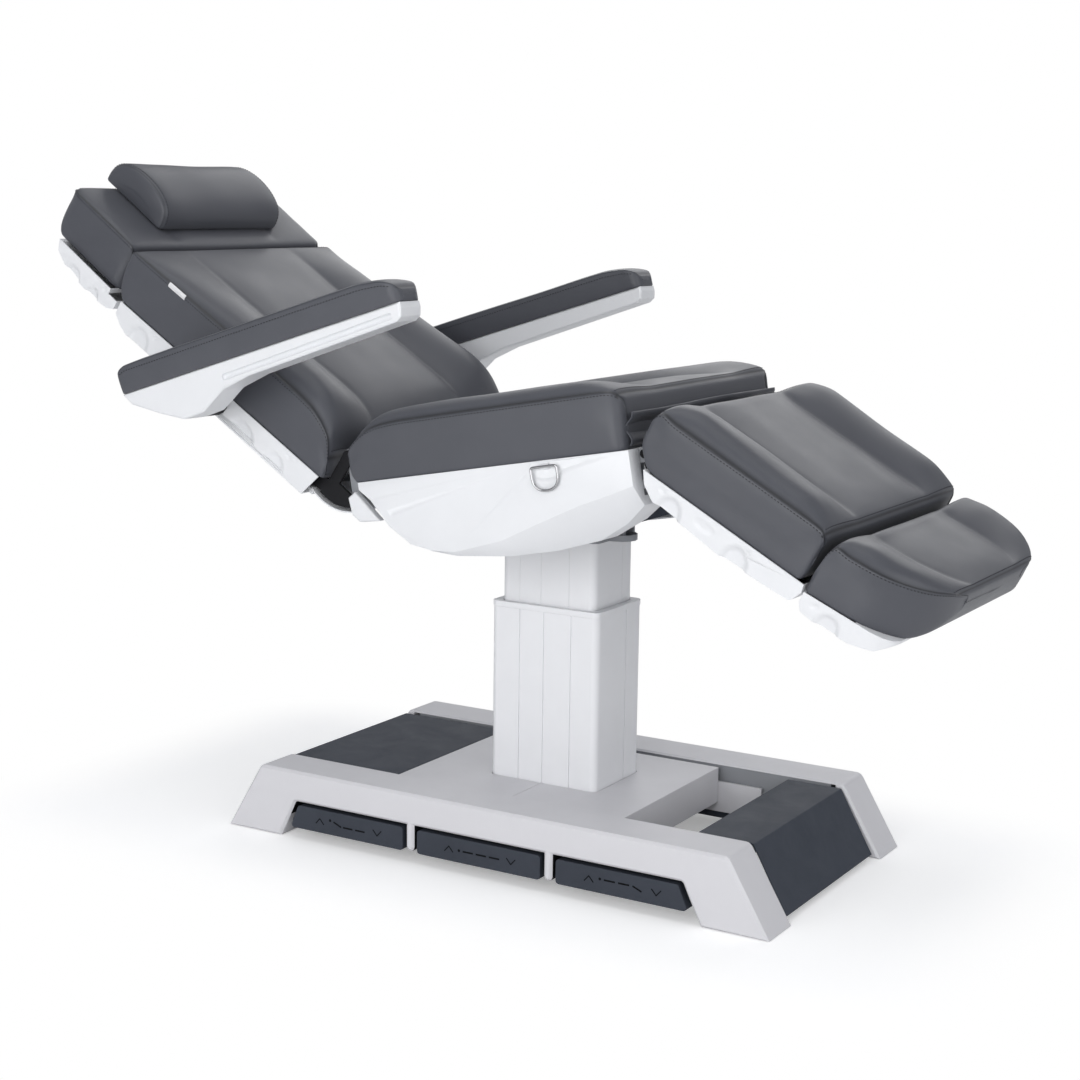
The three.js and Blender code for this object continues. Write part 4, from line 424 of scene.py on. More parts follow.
def settled(piece):
    """The piece with its modifiers made part of its mesh"""
    bpy.context.view_layer.update()
    graph = bpy.context.evaluated_depsgraph_get()
    evaluated = piece.evaluated_get(graph)
    mesh = bpy.data.meshes.new_from_object(evaluated, preserve_all_data_layers=True, depsgraph=graph)
    old = piece.data
    piece.modifiers.clear()
    piece.data = mesh
    mesh.name = piece.name
    if old.users == 0:
        bpy.data.meshes.remove(old)
    return piece


def coordinates(mesh):
    """The points of a mesh, as rows"""
    points = np.zeros(len(mesh.vertices) * 3, np.float32)
    mesh.vertices.foreach_get("co", points)
    return points.reshape(-1, 3).astype(float)


def set_coordinates(mesh, points):
    """The points of a mesh, moved to new rows"""
    mesh.vertices.foreach_set("co", np.asarray(points, np.float32).ravel())
    mesh.update()


def normals(mesh):
    """The outward direction at each point of a mesh"""
    found = np.zeros(len(mesh.vertices) * 3, np.float32)
    mesh.vertex_normals.foreach_get("vector", found)
    return found.reshape(-1, 3).astype(float)


def values_of(mesh, label):
    """A value that is kept per point of a mesh"""
    found = np.zeros(len(mesh.vertices), np.float32)
    mesh.attributes[label].data.foreach_get("value", found)
    return found.astype(float)


cloth_settings = {
    "quality": 4, "mass": 0.3, "tension_stiffness": 20, "compression_stiffness": 20,
    "bending_stiffness": 1.5, "use_pressure": True,
}


def swell(piece, pressure, cap, pinned, frames):
    """Cloth under pressure from inside, kept in the mesh. No point moves further than the cap"""
    scene = bpy.context.scene
    before = coordinates(piece.data)
    group = piece.vertex_groups.new(name="pinned")
    for index in np.nonzero(pinned > 0)[0]:
        group.add([int(index)], float(pinned[index]), "REPLACE")
    cloth = piece.modifiers.new("cloth", "CLOTH")
    settings = cloth.settings
    set_all(settings, cloth_settings)
    settings.uniform_pressure_force = pressure
    settings.effector_weights.gravity = 0
    settings.vertex_group_mass = "pinned"
    cloth.collision_settings.use_collision = False
    cloth.point_cache.frame_start = 1
    cloth.point_cache.frame_end = frames
    for step in range(1, frames + 1):
        scene.frame_set(step)
    bpy.context.view_layer.update()
    evaluated = piece.evaluated_get(bpy.context.evaluated_depsgraph_get())
    after = coordinates(evaluated.data)
    piece.modifiers.remove(cloth)
    scene.frame_set(1)
    move = after - before
    length = np.linalg.norm(move, axis=1, keepdims=True)
    move *= np.minimum(1, cap / np.maximum(length, 1e-9))
    set_coordinates(piece.data, before + move)


def to_world(piece, section):
    """The mesh of a piece from its section's lengths to its place in the world"""
    piece.data.transform(section_matrix(section))
    piece.data.update()


def ripple(points, scale, seed):
    """Soft unevenness, from -1 to 1, the same in each run"""
    rng = np.random.default_rng(seed)
    total = np.zeros(len(points))
    for _ in range(7):
        direction = rng.normal(size=3)
        direction *= rng.uniform(0.6, 1.6) / np.linalg.norm(direction) / scale
        total += np.sin(points @ direction * 2 * math.pi + rng.uniform(0, 2 * math.pi))
    return total / 4


def peak(values, place, width):
    """One at a place, falling smoothly away to both sides"""
    return np.exp(-((values - place) / width) ** 2)


# Where the crease beside a bolster lies over the top, and the end seams as a share of the thickness
crease_place, end_seam_share = 1.48, 0.045


def make_cushion(node, spacing=13.0, pad=False, seam_depth=2.2):
    """One upholstered cushion that stands for its plain solid"""
    shape = CushionShape(**cushion_table[node])
    piece = link(f"{node}_cover", cushion_mesh(f"{node}_cover", shape, spacing, pad))
    to_world(piece, shape.section)
    up, way = values_of(piece.data, "round_share"), values_of(piece.data, "place_x")
    under = (up < 0.35).astype(float)
    crease = peak(up, crease_place, 0.03) * (0 if pad else 1)
    ends = np.minimum(way - shape.head_x, shape.foot_x - way)
    held = np.maximum.reduce([peak(up, 1.0, 0.05), under, crease, peak(ends, 0, 14)])
    swell(piece, 1.6 if pad else 2.4, (0.9 if pad else 2.5) * MM, np.clip(held, 0, 1), 12)
    mesh = refined(piece)
    up, way = values_of(mesh, "round_share"), values_of(mesh, "place_x")
    points, outward = coordinates(mesh), normals(mesh)
    # Seams: along the sides where the top panel meets the band, and across both ends
    ends = np.minimum(way - shape.head_x, shape.foot_x - way)
    end_seam = end_seam_share * shape.thickness
    across = peak(ends, end_seam, 2.6) * (up > 0.9) * seam_depth * 0.8
    drop = np.maximum(seam_depth * peak(up, 1.0, 0.022), across)
    if not pad:
        fade = np.clip((ends - 30) / 90, 0, 1)
        drop = drop + 0.8 * peak(up, crease_place, 0.03) * fade
    soft = ripple(points, 0.21, len(node)) * (0.5 if pad else 1.1) * np.clip(up / 0.4, 0, 1)
    puckers = np.sin(way / 9.0) * 0.25 * peak(up, 0.97, 0.06)
    points += outward * ((soft + puckers - drop) * MM)[:, None]
    set_coordinates(mesh, points)
    # Painted shade: the finish is darkened along the side seams and across both ends, where shade falls in
    # the seam grooves
    painted_seam_shade = peak(up, 1.0, np.where(up < 1, 0.035, 0.012))
    painted_seam_shade = np.maximum(painted_seam_shade, peak(ends, end_seam, 1.3) * (up > 0.93))
    keep_seam_shade(mesh, painted_seam_shade * (0.4 if pad else 0.75))
    smooth_shaded(mesh)
    return piece, shape


def keep_seam_shade(mesh, painted_shade):
    """Painted shade along the seams of a mesh, per point, which darkens its finish there"""
    attribute = mesh.attributes.get("seam_and_shade") or mesh.attributes.new("seam_and_shade", "FLOAT", "POINT")
    attribute.data.foreach_set("value", np.asarray(painted_shade, np.float32))


# Node trees

def add(tree, kind, values=None, **options):
    """A new node: its options are set first, then each input from a value or from another node's output"""
    node = set_all(tree.nodes.new(kind), options)
    for key, value in (values or {}).items():
        if isinstance(value, bpy.types.NodeSocket):
            tree.links.new(value, node.inputs[key])
        else:
            node.inputs[key].default_value = value
    return node


def maths(tree, operation, *terms):
    """The result of a sum on numbers or outputs"""
    return add(tree, "ShaderNodeMath", dict(enumerate(terms)), operation=operation).outputs["Value"]


def spread_out(tree, value, from_low, from_high, to_low=0.0, to_high=1.0, **options):
    """A value carried from one range to another"""
    ranges = {"Value": value, "From Min": from_low, "From Max": from_high}
    ranges |= {"To Min": to_low, "To Max": to_high}
    return add(tree, "ShaderNodeMapRange", ranges, **options).outputs["Result"]


def sockets(tree, inputs, outputs):
    """Named inputs and outputs of a tree. An input with a number is a float, and else it names its kind"""
    for name, value in inputs.items():
        kind = value if isinstance(value, str) else "Float"
        socket = tree.interface.new_socket(name, in_out="INPUT", socket_type=f"NodeSocket{kind}")
        if kind == "Float":
            socket.default_value = value
    for name, kind in outputs.items():
        tree.interface.new_socket(name, in_out="OUTPUT", socket_type=f"NodeSocket{kind}")
    return add(tree, "NodeGroupInput").outputs, add(tree, "NodeGroupOutput")


def fill(tree, node, **values):
    """Join outputs to the named inputs of a node"""
    for name, value in values.items():
        tree.links.new(value, node.inputs[name])


def flat_and_painted(tree, instances, material):
    """Instances made real, with their material"""
    real = add(tree, "GeometryNodeRealizeInstances", {"Geometry": instances}).outputs["Geometry"]
    return add(tree, "GeometryNodeSetMaterial", {"Geometry": real, "Material": material}).outputs["Geometry"]


# Stitches

def stitch_tree():
    """Geometry nodes that lay short rounded stitches end to end along a mesh line"""
    tree = bpy.data.node_groups.new("stitch_row", "GeometryNodeTree")
    given, out = sockets(
        tree,
        {
            "Geometry": "Geometry", "Spacing": 0.0062, "Length": 0.0042, "Radius": 0.00055,
            "Thread": "Material",
        },
        {"Geometry": "Geometry"},
    )
    curve = add(tree, "GeometryNodeMeshToCurve", {"Mesh": given["Geometry"]}).outputs["Curve"]
    spots = add(
        tree, "GeometryNodeResampleCurve", {"Curve": curve, "Length": given["Spacing"]}, mode="LENGTH",
    ).outputs["Curve"]
    tangent = add(tree, "GeometryNodeInputTangent").outputs["Tangent"]
    turn = add(tree, "FunctionNodeAlignRotationToVector", {"Vector": tangent}, axis="Z").outputs["Rotation"]
    ball = add(tree, "GeometryNodeMeshUVSphere", {"Segments": 6, "Rings": 4, "Radius": 1.0}).outputs["Mesh"]
    half = maths(tree, "MULTIPLY", given["Length"], 0.5)
    size = add(tree, "ShaderNodeCombineXYZ", {"X": given["Radius"], "Y": given["Radius"], "Z": half})
    placed = add(
        tree, "GeometryNodeInstanceOnPoints",
        {"Points": spots, "Instance": ball, "Rotation": turn, "Scale": size.outputs["Vector"]},
    ).outputs["Instances"]
    fill(tree, out, Geometry=flat_and_painted(tree, placed, given["Thread"]))
    return tree


def socket_of(tree, name):
    """The identifier of a named input of a tree"""
    for item in tree.interface.items_tree:
        if item.item_type == "SOCKET" and item.in_out == "INPUT" and item.name == name:
            return item.identifier
    raise RuntimeError(f"the tree has no input named {name}")


def run_tree(piece, tree, **inputs):
    """A geometry nodes tree on a piece, whose result becomes its plain mesh"""
    modifier = piece.modifiers.new(tree.name, "NODES")
    modifier.node_group = tree
    for name, value in inputs.items():
        modifier[socket_of(tree, name)] = value
    return settled(piece)


def line_mesh(name, lines):
    """Open lines of points as one mesh of edges"""
    vertices, edges = [], []
    for line in lines:
        start = len(vertices)
        vertices.extend([tuple(point) for point in line])
        edges.extend((start + index, start + index + 1) for index in range(len(line) - 1))
    mesh = bpy.data.meshes.new(name)
    mesh.from_pydata(vertices, edges, [])
    return mesh


def seam_lines(shape, share, lift, way_in=6.0):
    """Lines along both sides of a cushion at a share of its side, just proud of it, in the world"""
    lines = []
    xs = np.linspace(shape.head_x + way_in, shape.foot_x - way_in, 90)
    for side in (-1, 1):
        points = shape.point(xs, np.full(len(xs), share))
        points[:, 1] += lift
        points[:, 1] = points[:, 1] * side + shape.centre_y
        lines.append(in_world(shape.section, points))
    return lines


def end_line(shape, way_in, lift, foot):
    """A line across the top of a cushion near one end, just proud of the skin, in the world"""
    x = shape.foot_x - way_in if foot else shape.head_x + way_in
    over = np.linspace(-0.97, 0.97, 80)
    points = shape.point(np.full(len(over), x), 2 - np.abs(over))
    points[:, 1] *= np.where(over < 0, -1, 1)
    points[:, 2] += lift
    points[:, 1] += shape.centre_y
    return in_world(shape.section, points)


# Finishes

grain_outputs = {"Height": "Float", "Shade": "Float", "Worn": "Float"}
bump_depth = 0.0004


def leather_grain_group():
    """Fine pebbled grain with soft mottling, and painted shade along the seams, in lengths of metres"""
    tree = bpy.data.node_groups.new("leather_grain", "ShaderNodeTree")
    given, out = sockets(tree, {"Grain size": 0.0016, "Mottle size": 0.12, "Mottle": 0.05}, grain_outputs)
    place = add(tree, "ShaderNodeTexCoord").outputs["Object"]
    fine = maths(tree, "DIVIDE", 1.0, given["Grain size"])
    coarse = maths(tree, "DIVIDE", 1.0, given["Mottle size"])
    pebble = add(
        tree, "ShaderNodeTexVoronoi", {"Randomness": 0.9, "Vector": place, "Scale": fine},
        feature="DISTANCE_TO_EDGE",
    )
    crinkle = add(tree, "ShaderNodeTexNoise", {"Detail": 4, "Vector": place, "Scale": fine})
    height = maths(tree, "MULTIPLY_ADD", crinkle.outputs["Fac"], 0.35, pebble.outputs["Distance"])
    mottle = add(
        tree, "ShaderNodeTexNoise", {"Detail": 5, "Roughness": 0.6, "Vector": place, "Scale": coarse},
    ).outputs["Fac"]
    low = maths(tree, "SUBTRACT", 1.0, given["Mottle"])
    high = maths(tree, "ADD", 1.0, given["Mottle"])
    # Painted shade: the seam shade kept per point darkens the colour along the seams
    seam_and_shade = add(tree, "ShaderNodeAttribute", attribute_name="seam_and_shade").outputs["Fac"]
    lit = maths(tree, "SUBTRACT", 1.0, seam_and_shade)
    shade = maths(tree, "MULTIPLY", spread_out(tree, mottle, 0.3, 0.7, low, high), lit)
    fill(tree, out, Height=height, Shade=shade, Worn=mottle)
    return tree


def moulded_grain_group():
    """Fine even texture of moulded plastic or powder paint, with a little handling wear"""
    tree = bpy.data.node_groups.new("moulded_grain", "ShaderNodeTree")
    given, out = sockets(tree, {"Grain size": 0.0012, "Smudge size": 0.09, "Smudge": 0.03}, grain_outputs)
    place = add(tree, "ShaderNodeTexCoord").outputs["Object"]
    fine = maths(tree, "DIVIDE", 1.0, given["Grain size"])
    coarse = maths(tree, "DIVIDE", 1.0, given["Smudge size"])
    grain = add(tree, "ShaderNodeTexNoise", {"Detail": 2, "Vector": place, "Scale": fine}).outputs["Fac"]
    smudge = add(
        tree, "ShaderNodeTexNoise",
        {"Detail": 6, "Roughness": 0.65, "Distortion": 0.4, "Vector": place, "Scale": coarse},
    ).outputs["Fac"]
    low = maths(tree, "SUBTRACT", 1.0, given["Smudge"])
    shade = spread_out(tree, smudge, 0.3, 0.75, 1.0, low)
    fill(tree, out, Height=grain, Shade=shade, Worn=smudge)
    return tree


def finish(name, group, colour, roughness, spread, bump, grain=None, surface=None):
    """A material whose colour, roughness and bump come from a shared texture group"""
    material = bpy.data.materials.new(name)
    material.use_nodes = True
    material.diffuse_color = (*colour, 1)
    tree = material.node_tree
    shader = tree.nodes["Principled BSDF"]
    texture = add(tree, "ShaderNodeGroup", grain, node_tree=group).outputs
    tint = add(
        tree, "ShaderNodeMix", {"Factor": 1.0, "A": (*colour, 1), "B": texture["Shade"]},
        data_type="RGBA", blend_type="MULTIPLY",
    )
    rough = spread_out(tree, texture["Worn"], 0.3, 0.7, roughness - spread, roughness + spread)
    relief = add(
        tree, "ShaderNodeBump", {"Strength": bump, "Distance": bump_depth, "Height": texture["Height"]},
    )
    tree.links.new(tint.outputs["Result"], shader.inputs["Base Color"])
    fill(tree, shader, Roughness=rough, Normal=relief.outputs["Normal"])
    for key, value in (surface or {}).items():
        shader.inputs[key].default_value = value
    return material


finishes = {}


def make_finishes(settings):
    """Every finish of the table, by name"""
    leather, moulded = leather_grain_group(), moulded_grain_group()
    slate = tuple(settings.slate_colour)
    pedal = tuple(0.85 * part for part in slate)
    dull = {"Specular IOR Level": 0.3}
    # Each row: material, texture, colour, roughness, its spread, bump, texture inputs, surface inputs
    table = {
        "upholstery": (
            "grey_leather", leather, settings.leather_colour, 0.42, 0.05, 0.35,
            {"Grain size": settings.grain_size}, {"Sheen Weight": 0.06, "Sheen Roughness": 0.5},
        ),
        "thread": ("stitching_thread", leather, settings.thread_colour, 0.7, 0.05, 0.2),
        "tag": ("woven_tag", leather, (0.75, 0.75, 0.76), 0.7, 0.05, 0.5, {"Grain size": 0.0008}),
        "white_shell": (
            "white_moulded_shell", moulded, settings.shell_colour, 0.34, 0.05, 0.08, {},
            {"Coat Weight": 0.08},
        ),
        "rail_white": ("pale_grey_rail", moulded, settings.rail_colour, 0.42, 0.06, 0.22),
        "column_paint": ("white_powder_coat", moulded, (0.84, 0.845, 0.865), 0.36, 0.05, 0.25),
        "slate_plastic": ("dark_slate_cover", moulded, slate, 0.62, 0.07, 0.4, {"Smudge": 0.12}, dull),
        "pedal_rubber": ("slate_pedal_face", moulded, pedal, 0.62, 0.07, 0.6, {"Smudge": 0.15}, dull),
        "mark": (
            "engraved_mark", moulded, (0.003, 0.003, 0.004), 0.85, 0.05, 0.3, {},
            {"Specular IOR Level": 0.1},
        ),
        "black_frame": (
            "black_powder_coat", moulded, (0.008, 0.008, 0.01), 0.6, 0.08, 0.4, {},
            {"Specular IOR Level": 0.25},
        ),
        "grey_frame": ("grey_powder_coat", moulded, (0.27, 0.28, 0.3), 0.42, 0.07, 0.35),
        "bright_steel": (
            "ground_steel", moulded, (0.6, 0.61, 0.63), 0.28, 0.08, 0.12, {"Grain size": 0.0006},
            {"Metallic": 1.0},
        ),
        "chrome_ring": (
            "polished_chrome", moulded, (0.5, 0.5, 0.51), 0.1, 0.03, 0.02, {}, {"Metallic": 1.0},
        ),
    }
    for name, row in table.items():
        finishes[name] = finish(*row)


def paint(piece, name):
    """One finish all over a piece"""
    piece.data.materials.clear()
    piece.data.materials.append(finishes[name])


# Rigid pieces

def even_normals(piece):
    """Shading normals that keep large faces flat beside small rounded edges"""
    modify(piece, "even", "WEIGHTED_NORMAL", keep_sharp=True, weight=90)
    settled(piece)


# Edges sharper than this are rounded, in degrees
edge_angle = 32.0
# Faces this near to flat are joined, in degrees, and points this near to one another, in metres
flat_angle, same_place = 0.6, 0.00002


def softened(node, finish_name, width, segments, cutters=(), sharp=40.0, divide=0, weighted=True):
    """A copy of a rigid solid with rounded edges, which stands for it"""
    body = nodes[node]["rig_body"]
    mesh = nodes[node].data.copy()
    work = bmesh.new()
    work.from_mesh(mesh)
    bmesh.ops.remove_doubles(work, verts=work.verts, dist=same_place)
    bmesh.ops.dissolve_limit(
        work, angle_limit=math.radians(flat_angle), use_dissolve_boundaries=False, verts=work.verts,
        edges=work.edges,
    )
    work.to_mesh(mesh)
    work.free()
    piece = link(f"{node}_skin", mesh)
    for cutter in cutters:
        modify(piece, "recess", "BOOLEAN", operation="DIFFERENCE", solver="EXACT", object=cutter)
    if width:
        modify(
            piece, "edge", "BEVEL", width=width, segments=segments, limit_method="ANGLE",
            angle_limit=math.radians(edge_angle), use_clamp_overlap=True, harden_normals=False,
        )
    if divide:
        modify(piece, "finer", "SUBSURF", levels=divide, render_levels=divide)
    settled(piece)
    for cutter in cutters:
        bpy.data.objects.remove(cutter)
    smooth_shaded(piece.data, sharp)
    if weighted:
        even_normals(piece)
    paint(piece, finish_name)
    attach(piece, body)
    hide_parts(node)
    return piece


def dented(piece, section, dents, reach, sharp=40, even=True):
    """Shallow recesses pressed into both sides of a shell: x, z, two radii, depth and edge softness"""
    to_section = np.array(section_matrix(section).inverted())
    # The mesh is made finer this far round each recess, in millimetres,
    # where an edge is longer than this, in metres
    border, longest = 30, 0.006
    work = bmesh.new()
    work.from_mesh(piece.data)
    bmesh.ops.triangulate(work, faces=work.faces)
    for _ in range(5):
        long_edges = []
        for edge in work.edges:
            centre = np.array((edge.verts[0].co + edge.verts[1].co) / 2)
            middle = to_section[:3, :3] @ centre + to_section[:3, 3]
            near = any(
                abs(middle[0] - x) < wide + border and abs(middle[2] - z) < high + border
                for x, z, wide, high, _, _ in dents
            )
            if near and abs(middle[1]) > reach and edge.calc_length() > longest:
                long_edges.append(edge)
        if not long_edges:
            break
        bmesh.ops.subdivide_edges(work, edges=long_edges, cuts=1)
        bmesh.ops.triangulate(work, faces=[face for face in work.faces if len(face.verts) > 3])
    work.to_mesh(piece.data)
    work.free()
    points = coordinates(piece.data)
    local = points @ to_section[:3, :3].T + to_section[:3, 3]
    move = np.zeros(len(points))
    for x, z, wide, high, depth, soft in dents:
        way = np.hypot((local[:, 0] - x) / wide, (local[:, 2] - z) / high)
        share = np.clip((1 - way) / soft, 0, 1)
        move = np.maximum(move, depth * share ** 2 * (3 - 2 * share))
    outer = np.clip((np.abs(local[:, 1]) - reach) / 6, 0, 1)
    points[:, 1] -= np.sign(local[:, 1]) * move * outer * MM
    set_coordinates(piece.data, points)
    smooth_shaded(piece.data, sharp)
    if even:
        even_normals(piece)


def box_cutter(name, section, lows, highs, radius, segments=4, rise=0.0):
    """A rounded box in a section's lengths, used to cut a recess"""
    work = bmesh.new()
    bmesh.ops.create_cube(work, size=1.0)
    size = [high - low for low, high in zip(lows, highs)]
    centre = [(high + low) / 2 for low, high in zip(lows, highs)]
    bmesh.ops.scale(work, vec=size, verts=work.verts)
    bmesh.ops.translate(work, vec=centre, verts=work.verts)
    bmesh.ops.bevel(
        work, geom=work.edges, offset=radius, segments=segments, affect="EDGES",
        profile=0.5, clamp_overlap=True,
    )
    for vertex in work.verts:
        vertex.co.z += rise * (vertex.co.x - highs[0])
    mesh = mesh_from(work, name)
    if section is not None:
        mesh.transform(section_matrix(section))
    return link(name, mesh)


class TableSettings(bpy.types.PropertyGroup):
    """Colours and sizes of the table that can be changed"""

    leather_colour: FloatVectorProperty(
        name="Upholstery colour", description="Colour of the faux leather", subtype="COLOR",
        default=(0.071, 0.0745, 0.088),
    )
    thread_colour: FloatVectorProperty(
        name="Thread colour", description="Colour of the stitches", subtype="COLOR",
        default=(0.02, 0.021, 0.026),
    )
    grain_size: FloatProperty(
        name="Grain size", description="Width of one pebble of the leather grain", unit="LENGTH",
        default=0.0016,
    )
    stitch_spacing: FloatProperty(
        name="Stitch spacing", description="From one stitch to the next", unit="LENGTH", default=0.0064,
    )
    stitch_length: FloatProperty(
        name="Stitch length", description="Length of one stitch", unit="LENGTH", default=0.0042,
    )
    shell_colour: FloatVectorProperty(
        name="Shell colour", description="Colour of the moulded shells", subtype="COLOR",
        default=(0.8, 0.81, 0.83),
    )
    rail_colour: FloatVectorProperty(
        name="Rail colour", description="Colour of the base rails", subtype="COLOR",
        default=(0.68, 0.675, 0.70),
    )
    slate_colour: FloatVectorProperty(
        name="Cover colour", description="Colour of the dark end covers", subtype="COLOR",
        default=(0.048, 0.056, 0.074),
    )
    edge_radius: FloatProperty(
        name="Edge rounding", description="Rounding of the edges of moulded pieces", unit="LENGTH",
        default=0.0022,
    )


class StageSettings(bpy.types.PropertyGroup):
    """Light of the scene that can be changed"""

    key_power: FloatProperty(
        name="Main lamp", description="Power of the large lamp", unit="POWER", default=98.0,
    )
    fill_power: FloatProperty(
        name="Side lamp", description="Power of the lamp at the foot", unit="POWER", default=62.0,
    )
    back_power: FloatProperty(
        name="Back lamp", description="Power of the lamp behind", unit="POWER", default=44.0,
    )
    top_power: FloatProperty(
        name="Top lamp", description="Power of the lamp overhead", unit="POWER", default=30.0,
    )
    world_level: FloatProperty(
        name="Room light", description="Level of the light from all sides", default=0.36,
    )


class TableOperator:
    """What the operators that build the table share"""

    bl_options = {"REGISTER", "UNDO"}

    @property
    def settings(self):
        return bpy.context.scene.treatment_table


class FINISHES_OT_make(TableOperator, bpy.types.Operator):
    """Make every finish of the table"""

    bl_idname = "treatment_table.finishes"
    bl_label = "Finishes"

    def execute(self, context):
        make_finishes(self.settings)
        return {"FINISHED"}


def on_surface(cover, lines, lift=0.0005):
    """Lines drawn onto the nearest skin of a cover, a little proud of it"""
    skin = skin_tree(cover)
    laid = []
    for line in lines:
        found = [skin.find_nearest(Vector(point)) for point in line]
        laid.append([place + normal * lift for place, normal, _, _ in found])
    return laid


def stitched(name, lines, body, settings, cover, radius=0.0008):
    """Rows of stitches along lines on the skin of a cover, which ride on a body"""
    tree = bpy.data.node_groups.get("stitch_row") or stitch_tree()
    piece = link(name, line_mesh(name, on_surface(cover, lines)))
    run_tree(
        piece, tree, Spacing=settings.stitch_spacing, Length=settings.stitch_length, Radius=radius,
        Thread=finishes["thread"],
    )
    smooth_shaded(piece.data)
    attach(piece, body)


def dress_cushion(node, body, settings, lines, **options):
    """A cushion with its stitches, on its body"""
    piece, shape = make_cushion(node, **options)
    paint(piece, "upholstery")
    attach(piece, body)
    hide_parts(node)
    stitched(f"{node}_stitches", lines(shape), body, settings, piece)


class CUSHIONS_OT_make(TableOperator, bpy.types.Operator):
    """Upholster the seat, back, head, leg and foot sections"""

    bl_idname = "treatment_table.cushions"
    bl_label = "Cushions"

    def execute(self, context):
        def plain(shape):
            return seam_lines(shape, 0.93, 0.6) + [end_line(shape, 9, 0.7, foot) for foot in (True, False)]

        for node in ("seat_cushion", "back_cushion", "head_cushion", "leg_cushion", "foot_cushion"):
            dress_cushion(node, node.split("_")[0], self.settings, plain)
        return {"FINISHED"}


class ARM_PADS_OT_make(TableOperator, bpy.types.Operator):
    """Upholster both arm pads"""

    bl_idname = "treatment_table.arm_pads"
    bl_label = "Arm pads"

    def execute(self, context):
        for hand in ("right", "left"):
            dress_cushion(
                f"{hand}_arm_pad", f"{hand}_arm", self.settings,
                lambda shape: seam_lines(shape, 0.8, 0.5, 14), spacing=11.0, pad=True, seam_depth=0.9,
            )
        return {"FINISHED"}


class PILLOW_OT_make(TableOperator, bpy.types.Operator):
    """Make the half round head pillow"""

    bl_idname = "treatment_table.pillow"
    bl_label = "Head pillow"

    def execute(self, context):
        centre_x, half_length, height, half_width = -166.0, 88.0, 66.0, 180.0
        # It stands on the head cushion: its deck, thickness and crown, and a hair of air
        base = 9.5 + 95 + 4 + 0.3
        end_seam = 0.985
        roundness = 0.64
        stations = np.array([
            -1, -0.99, -0.97, -0.94, -0.9, *np.linspace(-0.84, 0.84, 33), 0.9, 0.94, 0.97, 0.99, 1,
        ])
        sizes = smooth_table(
            [-1, -0.985, -0.95, -0.85, -0.5, 0, 0.5, 0.85, 0.95, 0.985, 1],
            [0.9, 0.955, 0.985, 1, 0.99, 0.985, 0.99, 1, 0.985, 0.955, 0.9], stations,
        )
        rings, extras = [], []
        angles = np.linspace(0, math.pi, 33)
        for share, size in zip(stations, sizes):
            along = np.cos(angles) * half_length * size
            over = np.stack([along, np.sin(angles) ** roundness * height * size], -1)
            under = [[x, 0.0] for x in np.linspace(-0.92, 0.92, 13) * half_length * size]
            section = np.concatenate([over, np.array(under)])
            across = np.full(len(section), share * half_width)
            ring = np.stack([section[:, 0] + centre_x, across, section[:, 1] + base], -1)
            rings.append(ring)
            extras.append(np.stack([np.full(len(ring), abs(share)), section[:, 1] / height], -1))
        middle = np.array([centre_x, 0, base + height * 0.42])

        def pillow_caps(ring, outward):
            caps = []
            for shrink, out in ((0.93, 0.5), (0.8, 1.5), (0.6, 2.6), (0.35, 3.0), (0.1, 3.0), (0.0, 3.0)):
                cap = middle + (ring - middle) * [shrink, 1, shrink]
                cap[:, 1] = ring[:, 1] + outward * out * 0.8
                caps.append(cap)
            return caps

        vertices, values, faces = closed_loft(*capped(rings, extras, pillow_caps))
        kept = {"end_share": values[:, 0], "height_share": values[:, 1]}
        piece = link("head_pillow_cover", closed_mesh("head_pillow_cover", vertices, faces, kept))
        to_world(piece, "head")
        high = values_of(piece.data, "height_share")
        out = values_of(piece.data, "end_share")
        hold = np.maximum((high < 0.02).astype(float), peak(out, end_seam, 0.01))
        swell(piece, 3.0, 4 * MM, np.clip(hold, 0, 1), 20)
        mesh = refined(piece)
        points, outward = coordinates(mesh), normals(mesh)
        out, high = values_of(mesh, "end_share"), values_of(mesh, "height_share")
        creases = np.sin(points[:, 2] * 120 + points[:, 0] * 45) * peak(out, 1, 0.08) * 0.3
        seam_and_shade = peak(out, end_seam, 0.006) * (high > 0.03)
        drop = 2.2 * seam_and_shade
        soft = ripple(points, 0.2, 5) * 0.8 * np.clip(high * 4, 0, 1)
        set_coordinates(mesh, points + outward * ((soft + creases - drop) * MM)[:, None])
        # Painted shade: the finish is darkened along the end seams, where shade falls in their grooves
        keep_seam_shade(mesh, seam_and_shade * 0.6)
        smooth_shaded(mesh)
        paint(piece, "upholstery")
        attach(piece, "head")
        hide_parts("head_pillow")
        lines = []
        for side in (-1, 1):
            around = np.linspace(0.1, math.pi - 0.1, 50)
            x = np.cos(around) * (half_length * 0.99 + 2.5) + centre_x
            z = np.sin(around) ** roundness * (height * 0.99 + 2.5) + base
            lines.append(in_world("head", np.stack([x, np.full(50, side * half_width * 0.955), z], -1)))
        stitched("head_pillow_stitches", lines, "head", self.settings, piece)
        return {"FINISHED"}


